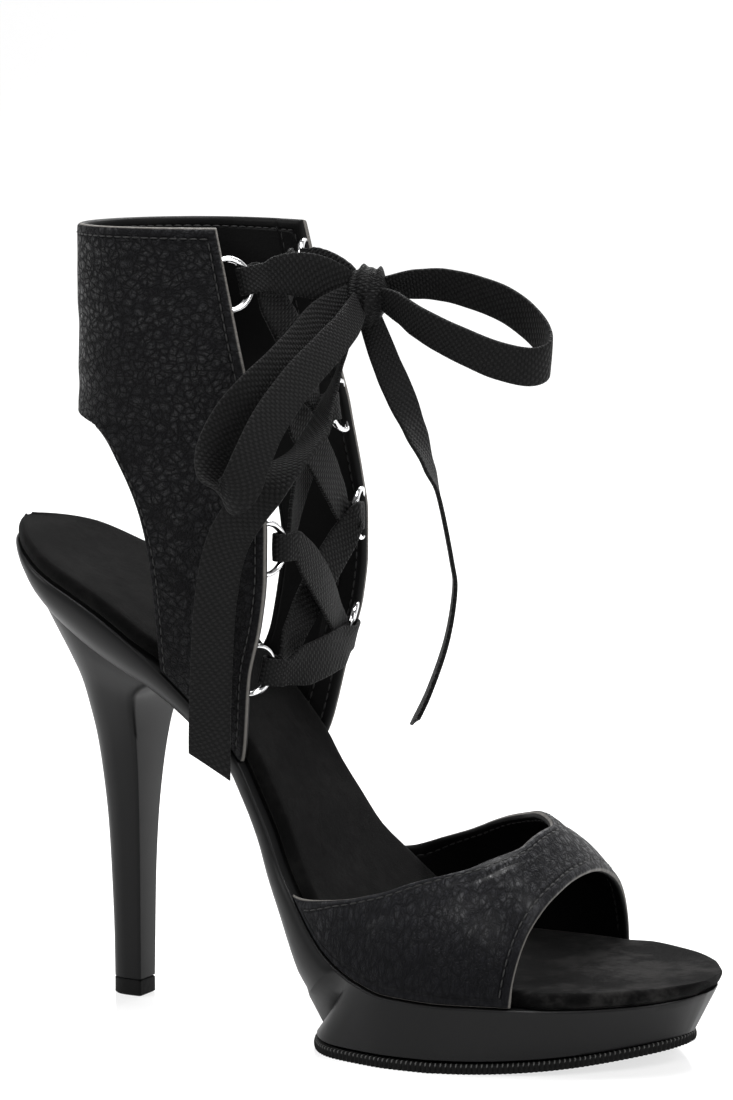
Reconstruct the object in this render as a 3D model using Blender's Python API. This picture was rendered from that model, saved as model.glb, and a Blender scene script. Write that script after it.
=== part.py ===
"""A lace-up heel: a platform sandal with a stiletto heel, a peep-toe strap and a laced ankle cuff.

It is a right shoe. Until the last lines move it, X runs from the back of the heel seat to the toe,
Y runs to the wearer's left, which is the shoe's medial side, and Z runs up from the ground.
"""

import math

import bmesh
import bpy
from mathutils import Vector

for old in list(bpy.data.objects):
    bpy.data.objects.remove(old, do_unlink=True)

# Driving sizes, in metres
SHOE_LENGTH = 0.2055
BALL_WIDTH = 0.083
SEAT_WIDTH = 0.057
SEAT_HEIGHT = 0.124
PLATFORM_HEIGHT = 0.0175
TOE_SPRING = 0.0068
SHANK_THICKNESS = 0.006
BREAST_CORNER = 0.013
OUTSOLE_THICKNESS = 0.0025
OUTSOLE_LIP = 0.0007
INSOLE_THICKNESS = 0.0040
FREE_RIM = 0.0006
HEEL_TIP_LENGTH = 0.0098
HEEL_TIP_WIDTH = 0.0080
HEEL_BREAST_PLACE = 0.0393
STRAP_WALL = 0.0022
STRAP_HEIGHT = 0.0606
CUFF_WALL = 0.0024
CUFF_HEIGHT = 0.1375
CUFF_DEPTH = 0.0505
CUFF_BACK_PLACE = 0.025
CUFF_SIDE_PLACE = 0.051
CUFF_HALF_WIDTH = 0.030
FACING_WIDTH = 0.010
FACING_THICKNESS = 0.001
RING_HEIGHT = 0.0145
RING_WIRE = 0.0014
RING_REACH = 0.0085
RING_HOLD = 0.0010
RING_SINK = 0.0005
LACE_WIDTH = 0.0110
LACE_WIDTH_IN_RING = 0.0072
LACE_THICKNESS = 0.0010
CROSSING_LIFT = 0.0016
BAR_BULGE = 0.0020
KNOT_SIZE = 0.0135
CLEARANCE = 0.0003
RIM_GAP = 0.00045
RING_PLAY = 0.0006

# The sides of the shoe: the lateral side lies at -Y, the medial side at +Y
SIDES = {"lateral": -1, "medial": 1}


def table(names, *rows):
    return [dict(zip(names.split(), row)) for row in rows]


def read(rows, by, column, at):
    """A column of a table at any value of another column, on a smooth curve that never overshoots."""
    x = [row[by] for row in rows]
    y = [row[column] for row in rows]
    if at <= x[0]:
        return y[0]
    if at >= x[-1]:
        return y[-1]
    last = len(x) - 1
    step = [x[i + 1] - x[i] for i in range(last)]
    rise = [(y[i + 1] - y[i]) / step[i] for i in range(last)]
    slope = [rise[0]]
    for i in range(1, last):
        if rise[i - 1] * rise[i] <= 0:
            slope.append(0.0)
        else:
            slope.append(2 * rise[i - 1] * rise[i] / (rise[i - 1] + rise[i]))
    slope.append(rise[-1])
    i = max(k for k in range(last) if x[k] <= at)
    t = (at - x[i]) / step[i]
    a = (1 + 2 * t) * (1 - t) ** 2 * y[i] + t * t * (3 - 2 * t) * y[i + 1]
    return a + step[i] * (t * (1 - t) ** 2 * slope[i] - t * t * (1 - t) * slope[i + 1])


def blend(a, b, t):
    return a + (b - a) * t


def spread(count):
    """Shares from 0 to 1, evenly spaced."""
    return [i / (count - 1) for i in range(count)]


# The plan of the footbed: half widths as shares of the local width, at shares of the length
OUTLINE = table(
    "along lateral medial",
    (0.012, 0.055, 0.055),
    (0.020, 0.135, 0.135),
    (0.030, 0.200, 0.200),
    (0.050, 0.300, 0.295),
    (0.068, 0.370, 0.365),
    (0.100, 0.445, 0.440),
    (0.130, 0.478, 0.474),
    (0.190, 0.492, 0.488),
    (0.250, 0.474, 0.472),
    (0.340, 0.414, 0.407),
    (0.390, 0.367, 0.363),
    (0.413, 0.362, 0.356),
    (0.440, 0.369, 0.362),
    (0.490, 0.421, 0.405),
    (0.545, 0.467, 0.442),
    (0.600, 0.495, 0.461),
    (0.650, 0.515, 0.476),
    (0.700, 0.512, 0.476),
    (0.765, 0.477, 0.468),
    (0.835, 0.420, 0.437),
    (0.900, 0.328, 0.366),
    (0.945, 0.237, 0.263),
    (0.970, 0.162, 0.160),
    (0.982, 0.100, 0.100),
    (0.989, 0.030, 0.030),
)

# The bed under the insole. height is a share of the rise from the platform to the seat, lean turns
# the section back from upright in degrees, thick is a share of the shank's thickness, and belly is
# the bottom's width as a share of the top's. Sections that reach the ground stop at the outsole.
BED = table(
    "along height lean thick belly",
    (0.012, 1.000, 8, 0.5, 0.60),
    (0.050, 0.979, 10, 0.9, 0.66),
    (0.100, 0.930, 15, 1.5, 0.72),
    (0.190, 0.842, 23, 1.9, 0.76),
    (0.250, 0.762, 34, 1.65, 0.78),
    (0.280, 0.714, 39, 1.35, 0.80),
    (0.340, 0.606, 45, 1.05, 0.80),
    (0.390, 0.502, 52, 0.95, 0.82),
    (0.413, 0.425, 56, 0.95, 0.82),
    (0.440, 0.340, 58.5, 1.05, 0.82),
    (0.462, 0.267, 59, 1.25, 0.80),
    (0.490, 0.203, 57, 1.6, 0.76),
    (0.545, 0.092, 52, 2.6, 0.68),
    (0.570, 0.059, 49, 3.3, 0.60),
    (0.595, 0.035, 45.5, 6.0, 0.97),
    (0.650, 0.0066, 37, 6.0, 0.97),
    (0.730, 0.0, 10, 6.0, 0.945),
    (0.800, 0.0, 2, 6.0, 0.885),
    (0.870, 0.001, 5, 6.0, 0.83),
    (0.930, 0.005, 16, 6.0, 0.76),
    (0.989, 0.0140, 25, 6.0, 0.66),
)
BREAST_STATION = 0.595
SPRING_START = 0.73

# How far the insole stays inside the rim, as shares of the wall that stands on the rim
RIM = table(
    "along share",
    (0.012, 0.0),
    (0.240, 0.0),
    (0.280, 1.15),
    (0.800, 1.30),
    (0.840, 0.0),
    (1.0, 0.0),
)

STATIONS = [0.012, 0.016, 0.023, 0.035, 0.05, 0.068, 0.09, 0.115, 0.15, 0.19, 0.22, 0.25, 0.265]
STATIONS += [0.28, 0.31, 0.34, 0.365, 0.39, 0.413, 0.44, 0.462, 0.49, 0.517, 0.545, 0.57]
STATIONS += [BREAST_STATION, 0.608, 0.625, 0.65, 0.69, 0.73, 0.765, 0.80, 0.835, 0.87, 0.90, 0.925]
STATIONS += [0.945, 0.96, 0.972, 0.982, 0.989]
INSOLE_END = 0.985
# Between these shares of the length the local width grows from the seat's to the ball's
SEAT_END, BALL_START = 0.28, 0.60


def half_width(along, side):
    """The half width of the sole's top on one side, in metres."""
    t = min(1.0, max(0.0, (along - SEAT_END) / (BALL_START - SEAT_END)))
    width = blend(SEAT_WIDTH, BALL_WIDTH, t * t * (3 - 2 * t))
    return read(OUTLINE, "along", side, along) * width


def bed_height(along):
    return PLATFORM_HEIGHT + read(BED, "along", "height", along) * (SEAT_HEIGHT - PLATFORM_HEIGHT)


def ground_height(place):
    """The height of the outsole's tread over the ground, at a place along the shoe in metres."""
    start = SPRING_START * SHOE_LENGTH
    share = max(0.0, (place - start) / (SHOE_LENGTH - start))
    return TOE_SPRING * share**1.8


def bed_lean(along):
    return math.radians(read(BED, "along", "lean", along))


def bed_point(along, over=0.0):
    """(place, height) of the middle of the bed, moved up square to its section."""
    lean = bed_lean(along)
    place = along * SHOE_LENGTH + over * math.sin(lean)
    return place, bed_height(along) + over * math.cos(lean)


def floor_reach(along):
    """How far down its section the sole meets the outsole, in metres."""
    lean = bed_lean(along)
    top = bed_height(along)
    depth = top
    for _ in range(6):
        ground = ground_height(along * SHOE_LENGTH - depth * math.sin(lean))
        depth = (top - ground - OUTSOLE_THICKNESS - CLEARANCE) / math.cos(lean)
    return depth


def sole_depth(along):
    thick = read(BED, "along", "thick", along) * SHANK_THICKNESS
    if along < BREAST_STATION:
        return min(thick, floor_reach(along))
    return floor_reach(along)


def breast_corner(place):
    """How much the rounded rear corners of the platform take off its half width."""
    rear = bed_point(BREAST_STATION, -sole_depth(BREAST_STATION))[0]
    inside = BREAST_CORNER - max(0.0, place - rear)
    if inside <= 0:
        return 0.0
    return BREAST_CORNER - math.sqrt(BREAST_CORNER**2 - inside**2)


def bottom_half(along, side):
    half = half_width(along, side) * read(BED, "along", "belly", along)
    if along >= BREAST_STATION:
        place = bed_point(along, -sole_depth(along))[0]
        reached = place / SHOE_LENGTH if along < SPRING_START else along
        half = half_width(reached, side) * read(BED, "along", "belly", along)
        half -= breast_corner(place)
    return half


def material(name, colour, roughness, metallic=0.0):
    made = bpy.data.materials.new(name)
    made.use_nodes = True
    shader = made.node_tree.nodes["Principled BSDF"]
    shader.inputs["Base Color"].default_value = (*colour, 1.0)
    shader.inputs["Roughness"].default_value = roughness
    shader.inputs["Metallic"].default_value = metallic
    return made


PLASTIC = material("satin_plastic", (0.012, 0.012, 0.013), 0.35)
RUBBER = material("tread_rubber", (0.012, 0.012, 0.012), 0.7)
SUEDE = material("footbed_suede", (0.010, 0.010, 0.010), 0.95)
LEATHER = material("pebbled_leather", (0.014, 0.014, 0.018), 0.45)
CHROME = material("chrome", (0.8, 0.8, 0.8), 0.08, 1.0)
RIBBON = material("woven_lace", (0.014, 0.014, 0.015), 0.75)

shoe = bpy.data.objects.new("shoe_frame", None)
bpy.context.scene.collection.objects.link(shoe)


def keep(name, mesh, finish, smooth=40):
    """Makes a node of a bmesh, or of a mesh, and parents it to the shoe."""
    if isinstance(mesh, bmesh.types.BMesh):
        mesh.normal_update()
        bmesh.ops.recalc_face_normals(mesh, faces=mesh.faces[:])
        data = bpy.data.meshes.new(name)
        mesh.to_mesh(data)
        mesh.free()
    else:
        data = mesh
    data.materials.append(finish)
    data.shade_smooth()
    data.set_sharp_from_angle(angle=math.radians(smooth))
    node = bpy.data.objects.new(name, data)
    bpy.context.scene.collection.objects.link(node)
    node.parent = shoe
    return node


def helper(name, mesh):
    """A cutter or a body that is joined to a node: it is no node itself."""
    node = keep(name, mesh, PLASTIC)
    node.hide_render = True
    node.display_type = "WIRE"
    return node


def grow(sections):
    """A closed body: the first section's face, extruded from each section to the next."""
    mesh = bmesh.new()
    face = mesh.faces.new([mesh.verts.new(point) for point in sections[0]])
    for step, section in enumerate(sections[1:]):
        made = bmesh.ops.extrude_face_region(mesh, geom=[face])["geom"]
        if step > 0:
            bmesh.ops.delete(mesh, geom=[face], context="FACES_ONLY")
        face = next(part for part in made if isinstance(part, bmesh.types.BMFace))
        for corner, point in zip(face.verts, section):
            corner.co = point
    return mesh


def wall(across, rows, place):
    """A wall from its own function: a grid for each face, welded where they meet themselves."""
    mesh = bmesh.new()
    for depth in (0, 1):
        for side in SIDES:
            made = bmesh.ops.create_grid(mesh, x_segments=len(across) - 1, y_segments=len(rows) - 1)
            for index, corner in enumerate(made["verts"]):
                share = across[index % len(across)]
                row = rows[index // len(across)]
                corner.co = place(side, share, row, depth)
    bmesh.ops.remove_doubles(mesh, verts=mesh.verts[:], dist=1e-5)
    border = [edge for edge in mesh.edges if edge.is_boundary]
    bmesh.ops.bridge_loops(mesh, edges=border)
    return mesh


# Sole unit: platform, shank and heel seat follow the bed, and the heel is joined under the seat
ACROSS = (-1.0, -0.5, 0.0, 0.5, 1.0)
DOWN = (0.3, 0.6, 0.85)
# The shank's underside is crowned, and its sides turn under along a curve of this power
CROWN = 0.22
BELLY_POWER = 2.2


def sole_section(along):
    """One closed section: its top from lateral to medial, then down, back under and up."""
    depth = sole_depth(along)
    grounded = along >= BREAST_STATION
    round_off = 1.0 if grounded else BELLY_POWER
    top = {side: half_width(along, side) for side in SIDES}
    low = {side: bottom_half(along, side) for side in SIDES}

    def at(y, down):
        place, height = bed_point(along, -down)
        return Vector((place, y, height))

    def across(halves, share):
        middle = (halves["medial"] - halves["lateral"]) / 2
        return middle + share * (halves["medial"] + halves["lateral"]) / 2

    points = [at(across(top, share), 0.0) for share in ACROSS]
    for down in DOWN:
        points.append(at(blend(top["medial"], low["medial"], down**round_off), down * depth))
    for share in reversed(ACROSS):
        crown = 0.0 if grounded else CROWN * (1 - share * share) * SHANK_THICKNESS
        points.append(at(across(low, share), depth + crown))
    for down in reversed(DOWN):
        points.append(at(-blend(top["lateral"], low["lateral"], down**round_off), down * depth))
    return points


# The heel from its tip up into the seat. Heights are shares of the seat's height, places are in
# lengths of the tip ahead of or behind the breast's foot, and width is in widths of the tip.
HEEL = table(
    "back_height back front_height front width",
    (0.038, -1.00, 0.038, 0.00, 1.00),
    (0.127, -1.01, 0.127, 0.01, 1.06),
    (0.259, -1.07, 0.259, 0.03, 1.15),
    (0.384, -1.15, 0.384, 0.07, 1.38),
    (0.484, -1.27, 0.484, 0.13, 1.76),
    (0.566, -1.40, 0.556, 0.19, 2.20),
    (0.639, -1.58, 0.617, 0.26, 2.80),
    (0.703, -1.77, 0.663, 0.42, 3.50),
    (0.761, -2.08, 0.688, 0.75, 4.25),
    (0.818, -2.46, 0.704, 1.22, 4.95),
    (0.870, -2.86, 0.712, 1.72, 5.40),
    (0.915, -3.22, 0.716, 2.10, 5.60),
)
HEEL_SIDE_SHARE = 0.55
# The small corner beside the breast: where it starts along the section, and the width left in front
BREAST_START, BREAST_WIDTH = 0.90, 0.88


def heel_section(row):
    """A D: round behind, straight to the breast, with small corners."""
    back = HEEL_BREAST_PLACE + row["back"] * HEEL_TIP_LENGTH
    front = HEEL_BREAST_PLACE + row["front"] * HEEL_TIP_LENGTH
    low, high = row["front_height"] * SEAT_HEIGHT, row["back_height"] * SEAT_HEIGHT
    half = row["width"] * HEEL_TIP_WIDTH / 2
    points = []

    def add(share, y):
        points.append(Vector((blend(back, front, share), y, blend(high, low, share))))

    for step in range(9):
        angle = math.pi * step / 8 - math.pi / 2
        add(HEEL_SIDE_SHARE * (1 - math.cos(angle)), half * math.sin(angle))
    add(BREAST_START, half)
    add(1.0, BREAST_WIDTH * half)
    add(1.0, -BREAST_WIDTH * half)
    add(BREAST_START, -half)
    return points


heel = helper("heel_body", grow([heel_section(row) for row in HEEL]))
sole_unit = keep("sole_unit", grow([sole_section(along) for along in STATIONS]), PLASTIC)
join = sole_unit.modifiers.new("heel", "BOOLEAN")
join.operation = "UNION"
join.object = heel


def flat_section(section, height):
    return [Vector((point.x, point.y, height)) for point in section]


tip = heel_section(HEEL[0])
top_piece_top = HEEL[0]["back_height"] * SEAT_HEIGHT - CLEARANCE
keep("heel_top_piece", grow([flat_section(tip, 0.0), flat_section(tip, top_piece_top)]), RUBBER)


def outsole_section(along):
    """The outsole under one section of the platform, a lip wider than it."""
    place = bed_point(along, -sole_depth(along))[0]
    low = ground_height(place)
    high = low + OUTSOLE_THICKNESS
    lateral = bottom_half(along, "lateral") + OUTSOLE_LIP
    medial = bottom_half(along, "medial") + OUTSOLE_LIP
    if along == STATIONS[-1]:
        place += OUTSOLE_LIP
    if along == BREAST_STATION:
        place -= OUTSOLE_LIP
    corners = ((-lateral, low), (medial, low), (medial, high), (-lateral, high))
    return [Vector((place, y, height)) for y, height in corners]


grounded = [along for along in STATIONS if along >= BREAST_STATION]
keep("outsole", grow([outsole_section(along) for along in grounded]), RUBBER)


# Insole: a padded board with its suede wrapped round the edge
def insole_section(along):
    wall_here = CUFF_WALL if along < 0.45 else STRAP_WALL
    inset = FREE_RIM + read(RIM, "along", "share", along) * wall_here
    lateral = half_width(along, "lateral") - inset
    medial = half_width(along, "medial") - inset
    roll = INSOLE_THICKNESS * 0.45
    points = []
    for y, over in (
        (-lateral, roll), (-lateral + roll * 0.3, 0.0), (medial - roll * 0.3, 0.0), (medial, roll),
        (medial - roll * 0.35, 0.85 * INSOLE_THICKNESS), (medial - roll * 1.3, INSOLE_THICKNESS),
        ((medial - lateral) / 2, INSOLE_THICKNESS * 0.93),
        (-lateral + roll * 1.3, INSOLE_THICKNESS), (-lateral + roll * 0.35, 0.85 * INSOLE_THICKNESS),
    ):
        place, height = bed_point(along, CLEARANCE + over)
        points.append(Vector((place, y, height)))
    return points


insole_stations = [along for along in STATIONS if along < INSOLE_END]
keep("insole", grow([insole_section(along) for along in insole_stations]), SUEDE, 60)


# Toe strap: a wall cut from one form, which stands on the platform's rim and arches over the toes.
# reach is a share of the length, and height is a share of the strap's height over the ground.
TOE_FORM = table(
    "reach height",
    (0.46, 1.20),
    (0.62, 1.12),
    (0.72, 1.03),
    (0.775, 0.945),
    (0.827, 0.76),
    (0.86, 0.64),
)
# Where the strap is cut, by the angle round the foot from the lateral rim in degrees
STRAP_CUT = table(
    "angle rear front",
    (0, 0.491, 0.803),
    (16, 0.542, 0.808),
    (34, 0.650, 0.814),
    (50, 0.735, 0.820),
    (70, 0.772, 0.825),
    (90, 0.774, 0.826),
    (120, 0.708, 0.820),
    (140, 0.620, 0.812),
    (158, 0.540, 0.804),
    (180, 0.482, 0.798),
)
# How the strap falls to each rim: a power of 1 is an ellipse, and more draws the shoulder in
SHOULDER = {"lateral": 0.90, "medial": 1.30}


def strap_point(side, share, row, depth):
    """A point of the strap: share goes from a rim to the top line, row from rear to front."""
    angle = 90 * share if side == "lateral" else 180 - 90 * share
    along = blend(
        read(STRAP_CUT, "angle", "rear", angle), read(STRAP_CUT, "angle", "front", angle), row
    )
    inside = depth * STRAP_WALL
    low = bed_height(along) + CLEARANCE
    high = read(TOE_FORM, "reach", "height", along) * STRAP_HEIGHT - inside
    half = half_width(along, side) - CLEARANCE - inside
    turn = math.radians(90 * share)
    height = low + (high - low) * math.sin(turn)
    y = SIDES[side] * half * max(0.0, math.cos(turn)) ** SHOULDER[side]
    return Vector((along * SHOE_LENGTH, y, height))


keep("toe_strap", wall(spread(13), spread(7), strap_point), LEATHER)


# Ankle cuff. Each row is a line round the leg from the back, or from a flap's rear edge, to a front
# edge. Heights are shares of the cuff's height. The side columns say how far round the line starts
# on each side, from 0 at the back to 1 at the side and 2 at the front edge, reach is a share of the
# cuff's depth, and the half widths at the side and at the front edge are shares of its half width.
CUFF = table(
    "row rear_height lateral medial front_height reach side_half front_half",
    (0, 1.000, 0.0, 0.0, 1.000, 0.997, 1.0, 0.81),
    (1, 0.917, 0.0, 0.0, 0.895, 1.065, 1.0, 0.83),
    (2, 0.823, 0.0, 0.0, 0.779, 1.143, 1.0, 0.86),
    (3, 0.729, 0.0, 0.0, 0.655, 1.232, 1.0, 0.89),
    (4, 0.664, 0.0, 0.0, 0.620, 1.247, 1.0, 0.902),
    (5, 0.646, 0.578, 0.700, 0.510, 1.295, 1.0, 0.94),
    (6, 0.612, 0.806, 0.980, 0.438, 1.317, 1.0, 0.96),
    (7, 0.556, 0.949, 1.180, 0.358, 1.315, 1.0, 0.965),
    (8, 0.459, 1.107, 1.320, 0.271, 1.287, 1.0, 0.965),
    (9, 0.349, 1.203, 1.395, 0.184, 1.224, 0.985, 0.945),
    (10, 0.255, 1.242, 1.380, 0.097, 1.166, 0.955, 0.88),
    (11, 0.165, 1.262, 1.290, 0.006, 1.105, 0.92, 0.81),
)
CUFF_ROWS = [0, 0.5, 1, 1.5, 2, 3, 4, 4.25, 4.5, 4.75, 5, 5.4, 6, 6.5, 7, 7.5, 8, 8.5, 9, 9.5, 10]
CUFF_ROWS += [10.5, 11]
LAST_ROW = 11
# The rings' heights are shares of the cuff's height, and turn is how far the lace pulls a ring
# inward from the run of its panel, in degrees
RINGS = table(
    "number lateral lateral_turn medial medial_turn",
    (1, 0.895, 40, 0.915, 55),
    (2, 0.666, 62, 0.647, 82),
    (3, 0.411, 74, 0.439, 74),
    (4, 0.180, 64, 0.217, 62),
)


def cuff_foot():
    """The height of the sole's rim at the front of the flaps."""
    return bed_height((CUFF_BACK_PLACE + CUFF[-1]["reach"] * CUFF_DEPTH) / SHOE_LENGTH)


def cuff_skin(side, share, row):
    """A point of the cuff's outer face: share goes from the rear, 0, to the front edge, 1."""
    front = CUFF_BACK_PLACE + read(CUFF, "row", "reach", row) * CUFF_DEPTH
    half = read(CUFF, "row", "side_half", row) * CUFF_HALF_WIDTH
    front_half = read(CUFF, "row", "front_half", row) * CUFF_HALF_WIDTH
    girth = blend(read(CUFF, "row", side, row), 2.0, share)
    if girth < 1:
        depth = CUFF_SIDE_PLACE - CUFF_BACK_PLACE
        place = CUFF_SIDE_PLACE - depth * math.cos(girth * math.pi / 2)
        y = half * math.sin(girth * math.pi / 2)
    else:
        place = blend(CUFF_SIDE_PLACE, front, girth - 1)
        y = blend(half, front_half, (girth - 1) ** 2)
    rear_height = read(CUFF, "row", "rear_height", row)
    front_height = read(CUFF, "row", "front_height", row)
    height = cuff_foot() + CUFF_HEIGHT * blend(rear_height, front_height, share)
    down = max(0.0, row - LAST_ROW + 2) / 2
    if down > 0:
        along = place / SHOE_LENGTH
        y = blend(y, half_width(along, side) - CLEARANCE, down**2)
        height = blend(height, bed_height(along) + RIM_GAP / math.cos(bed_lean(along)), down**2)
    return Vector((place, SIDES[side] * y, height))


def cuff_frame(side, share, row):
    """(forward, up, outward) at a point of the cuff's outer face."""
    step = 0.01
    before = cuff_skin(side, max(0.0, share - step), row)
    after = cuff_skin(side, min(1.0, share + step), row)
    forward = (after - before).normalized()
    outward = Vector((-forward.y, forward.x, 0.0)) * SIDES[side]
    if share == 0 and row <= 4:
        outward = Vector((-1.0, 0.0, 0.0))
    rise = cuff_skin(side, share, max(0, row - 0.2)) - cuff_skin(side, share, min(11, row + 0.2))
    outward.normalize()
    up = (rise - rise.dot(outward) * outward).normalized()
    return outward.cross(up) * SIDES[side], up, outward


def cuff_point(side, share, row, depth):
    skin = cuff_skin(side, share, row)
    to_edge = (cuff_skin(side, 1.0, row) - skin).length
    thick = CUFF_WALL
    if to_edge < FACING_WIDTH * 1.01:
        thick += FACING_THICKNESS
    return skin - cuff_frame(side, share, row)[2] * thick * depth


cuff_shares = [0, 0.06, 0.12, 0.19, 0.27, 0.36, 0.45, 0.54, 0.63, 0.72]


def cuff_place(side, share, row, depth):
    """The last four columns follow the front edge at the facing's width."""
    if share > 1:
        span = (cuff_skin(side, 1.0, row) - cuff_skin(side, 0.8, row)).length / 0.2
        share = 1 - {2: FACING_WIDTH * 1.07, 3: FACING_WIDTH, 4: FACING_WIDTH / 2, 5: 0.0}[share] / span
    return cuff_point(side, share, row, depth)


cuff = keep("ankle_cuff", wall(cuff_shares + [2, 3, 4, 5], CUFF_ROWS, cuff_place), LEATHER)


# D-rings: the bar sits in a slot inside the front edge, and the bow is turned in to the lace
def ring_frame(side, height, turn):
    """(middle of the front edge, ahead, up, across) at a share of the cuff's height."""
    low, high = 0.0, float(LAST_ROW)
    for _ in range(40):
        row = (low + high) / 2
        if read(CUFF, "row", "front_height", row) > height:
            low = row
        else:
            high = row
    forward, up, outward = cuff_frame(side, 1.0, row)
    edge = cuff_skin(side, 1.0, row) - outward * (CUFF_WALL + FACING_THICKNESS) / 2
    turn = math.radians(turn)
    ahead = forward * math.cos(turn) - outward * math.sin(turn)
    across = forward * math.sin(turn) + outward * math.cos(turn)
    bar = edge - RING_HOLD * forward - RING_SINK * outward
    return {"bar": bar, "ahead": ahead, "across": across, "forward": forward, "up": up, "out": outward}


def ring_path():
    """(ahead, up) round a D, from its bar."""
    half = (RING_HEIGHT - RING_WIRE) / 2
    points = [(0.0, -half * 0.97), (0.0, half * 0.97)]
    centre = RING_REACH - RING_WIRE / 2 - half
    for step in range(10):
        angle = math.pi * (1 - step / 9) - math.pi / 2
        points.append((centre + half * math.cos(angle), half * math.sin(angle)))
    return points


def ring_curve(name, frame):
    data = bpy.data.curves.new(name, "CURVE")
    data.dimensions = "3D"
    data.bevel_depth = RING_WIRE / 2
    data.bevel_resolution = 1
    line = data.splines.new("POLY")
    points = ring_path()
    line.points.add(len(points) - 1)
    for point, (ahead, above) in zip(line.points, points):
        place = frame["bar"] + ahead * frame["ahead"] + above * frame["up"]
        point.co = (*place, 1.0)
    line.use_cyclic_u = True
    data.materials.append(CHROME)
    node = bpy.data.objects.new(name, data)
    bpy.context.scene.collection.objects.link(node)
    node.parent = shoe


def pocket(name, frame):
    """A slot round the bar, open to the front edge and to the inside."""
    near = RING_WIRE / 2 + RING_PLAY
    half = RING_HEIGHT / 2 + RING_PLAY
    mesh = bmesh.new()
    bmesh.ops.create_cube(mesh, size=2)
    for corner in mesh.verts:
        x = -near if corner.co.x < 0 else 2 * CUFF_WALL
        y = near if corner.co.y > 0 else -CUFF_WALL
        corner.co = frame["bar"] + x * frame["forward"] + corner.co.z * half * frame["up"] + y * frame["out"]
    cutter = helper(name, mesh)
    cut = cuff.modifiers.new(name, "BOOLEAN")
    cut.operation = "DIFFERENCE"
    cut.object = cutter


frames = {}
for ring in RINGS:
    for side in SIDES:
        frames[side, ring["number"]] = ring_frame(side, ring[side], ring[side + "_turn"])
for (side, number), frame in frames.items():
    ring_curve(f"d_ring_{side}_{number}", frame)
    pocket(f"pocket_{side}_{number}", frame)


# Lace: one flat ribbon through all the rings, over three crossings, with both ends at the knot
def ribbon(name, points, widths, ups, finish=RIBBON):
    """A flat ribbon through points; its width lies as near to ups as its run allows."""
    sections = []
    for i, point in enumerate(points):
        run = (points[min(i + 1, len(points) - 1)] - points[max(i - 1, 0)]).normalized()
        across = (ups[i] - ups[i].dot(run) * run).normalized() * widths[i] / 2
        thick = run.cross(across).normalized() * LACE_THICKNESS / 2
        corners = (across + thick, thick - across, -across - thick, across - thick)
        sections.append([point + corner for corner in corners])
    return keep(name, grow(sections), finish)


# The way round a ring's bow, in wires ahead of the bow's middle and across it
ROUND_RING = table(
    "ahead across",
    (2.6, 1.1),
    (1.1, 1.3),
    (-0.4, 1.35),
    (-1.6, 1.0),
    (-2.2, 0.0),
    (-1.6, -1.0),
    (-0.4, -1.35),
    (1.1, -1.3),
    (2.6, -1.1),
)
KNOT_PLACE = Vector((0.100, 0.010, 0.190))
CROSSING_SHARES = (0.2, 0.4, 0.6, 0.8)
UP = Vector((0.0, 0.0, 1.0))


def round_ring(side, number):
    frame = frames[side, number]
    bow = frame["bar"] + (RING_REACH - RING_WIRE / 2) * frame["ahead"]
    points = [
        bow + RING_WIRE * (way["ahead"] * frame["ahead"] + way["across"] * frame["across"])
        for way in ROUND_RING
    ]
    return points if number > 1 else points[::-1]


def half_lace(first):
    """One half of the lace, from the middle of the lowest bar to the knot."""
    other = {"lateral": "medial", "medial": "lateral"}
    side = first
    lift = 1 if first == "lateral" else -1
    points, widths, ups = [], [], []
    for number in (4, 3, 2, 1):
        loop = round_ring(side, number)
        if points:
            start, end = points[-1], loop[0]
            for share in CROSSING_SHARES:
                bump = Vector((lift * CROSSING_LIFT * math.sin(math.pi * share), 0, 0))
                points.append(start.lerp(end, share) + bump)
                widths.append(blend(LACE_WIDTH_IN_RING, LACE_WIDTH, math.sin(math.pi * share) ** 0.6))
                ups.append(UP)
        points += loop
        ups += [frames[side, number]["up"]] * len(loop)
        widths += [LACE_WIDTH_IN_RING] * len(loop)
        side = other[side]
        lift = -lift
    start = points[-1]
    towards = (KNOT_PLACE - start).normalized()
    end = KNOT_PLACE - towards * (KNOT_SIZE / 2 + CLEARANCE)
    for share in (0.33, 0.66, 1.0):
        points.append(start.lerp(end, share))
        widths.append(LACE_WIDTH_IN_RING)
        ups.append(UP)
    return points, widths, ups


lateral_points, lateral_widths, lateral_ups = half_lace("lateral")
medial_points, medial_widths, medial_ups = half_lace("medial")
bar = []
for share in (0.25, 0.5, 0.75):
    bulge = Vector((BAR_BULGE * math.sin(math.pi * share), 0.0, 0.0))
    bar.append(lateral_points[0].lerp(medial_points[0], share) + bulge)
lace_points = lateral_points[::-1] + bar + medial_points
lace_widths = lateral_widths[::-1] + [LACE_WIDTH] * len(bar) + medial_widths
lace_ups = lateral_ups[::-1] + [UP] * len(bar) + medial_ups
ribbon("lace_crossings", lace_points, lace_widths, lace_ups)


# The bow: a knot, two loops and two ends. Routes are in millimetres from the knot's middle.
def knot():
    mesh = bmesh.new()
    bmesh.ops.create_uvsphere(mesh, u_segments=14, v_segments=9, radius=KNOT_SIZE / 2)
    for corner in mesh.verts:
        turn = math.atan2(corner.co.y, corner.co.x)
        crease = 0.97 + 0.03 * math.cos(3 * turn + corner.co.z / KNOT_SIZE * 6)
        corner.co = KNOT_PLACE + corner.co * crease
    return mesh


keep("lace_knot", knot(), RIBBON, 60)

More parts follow.
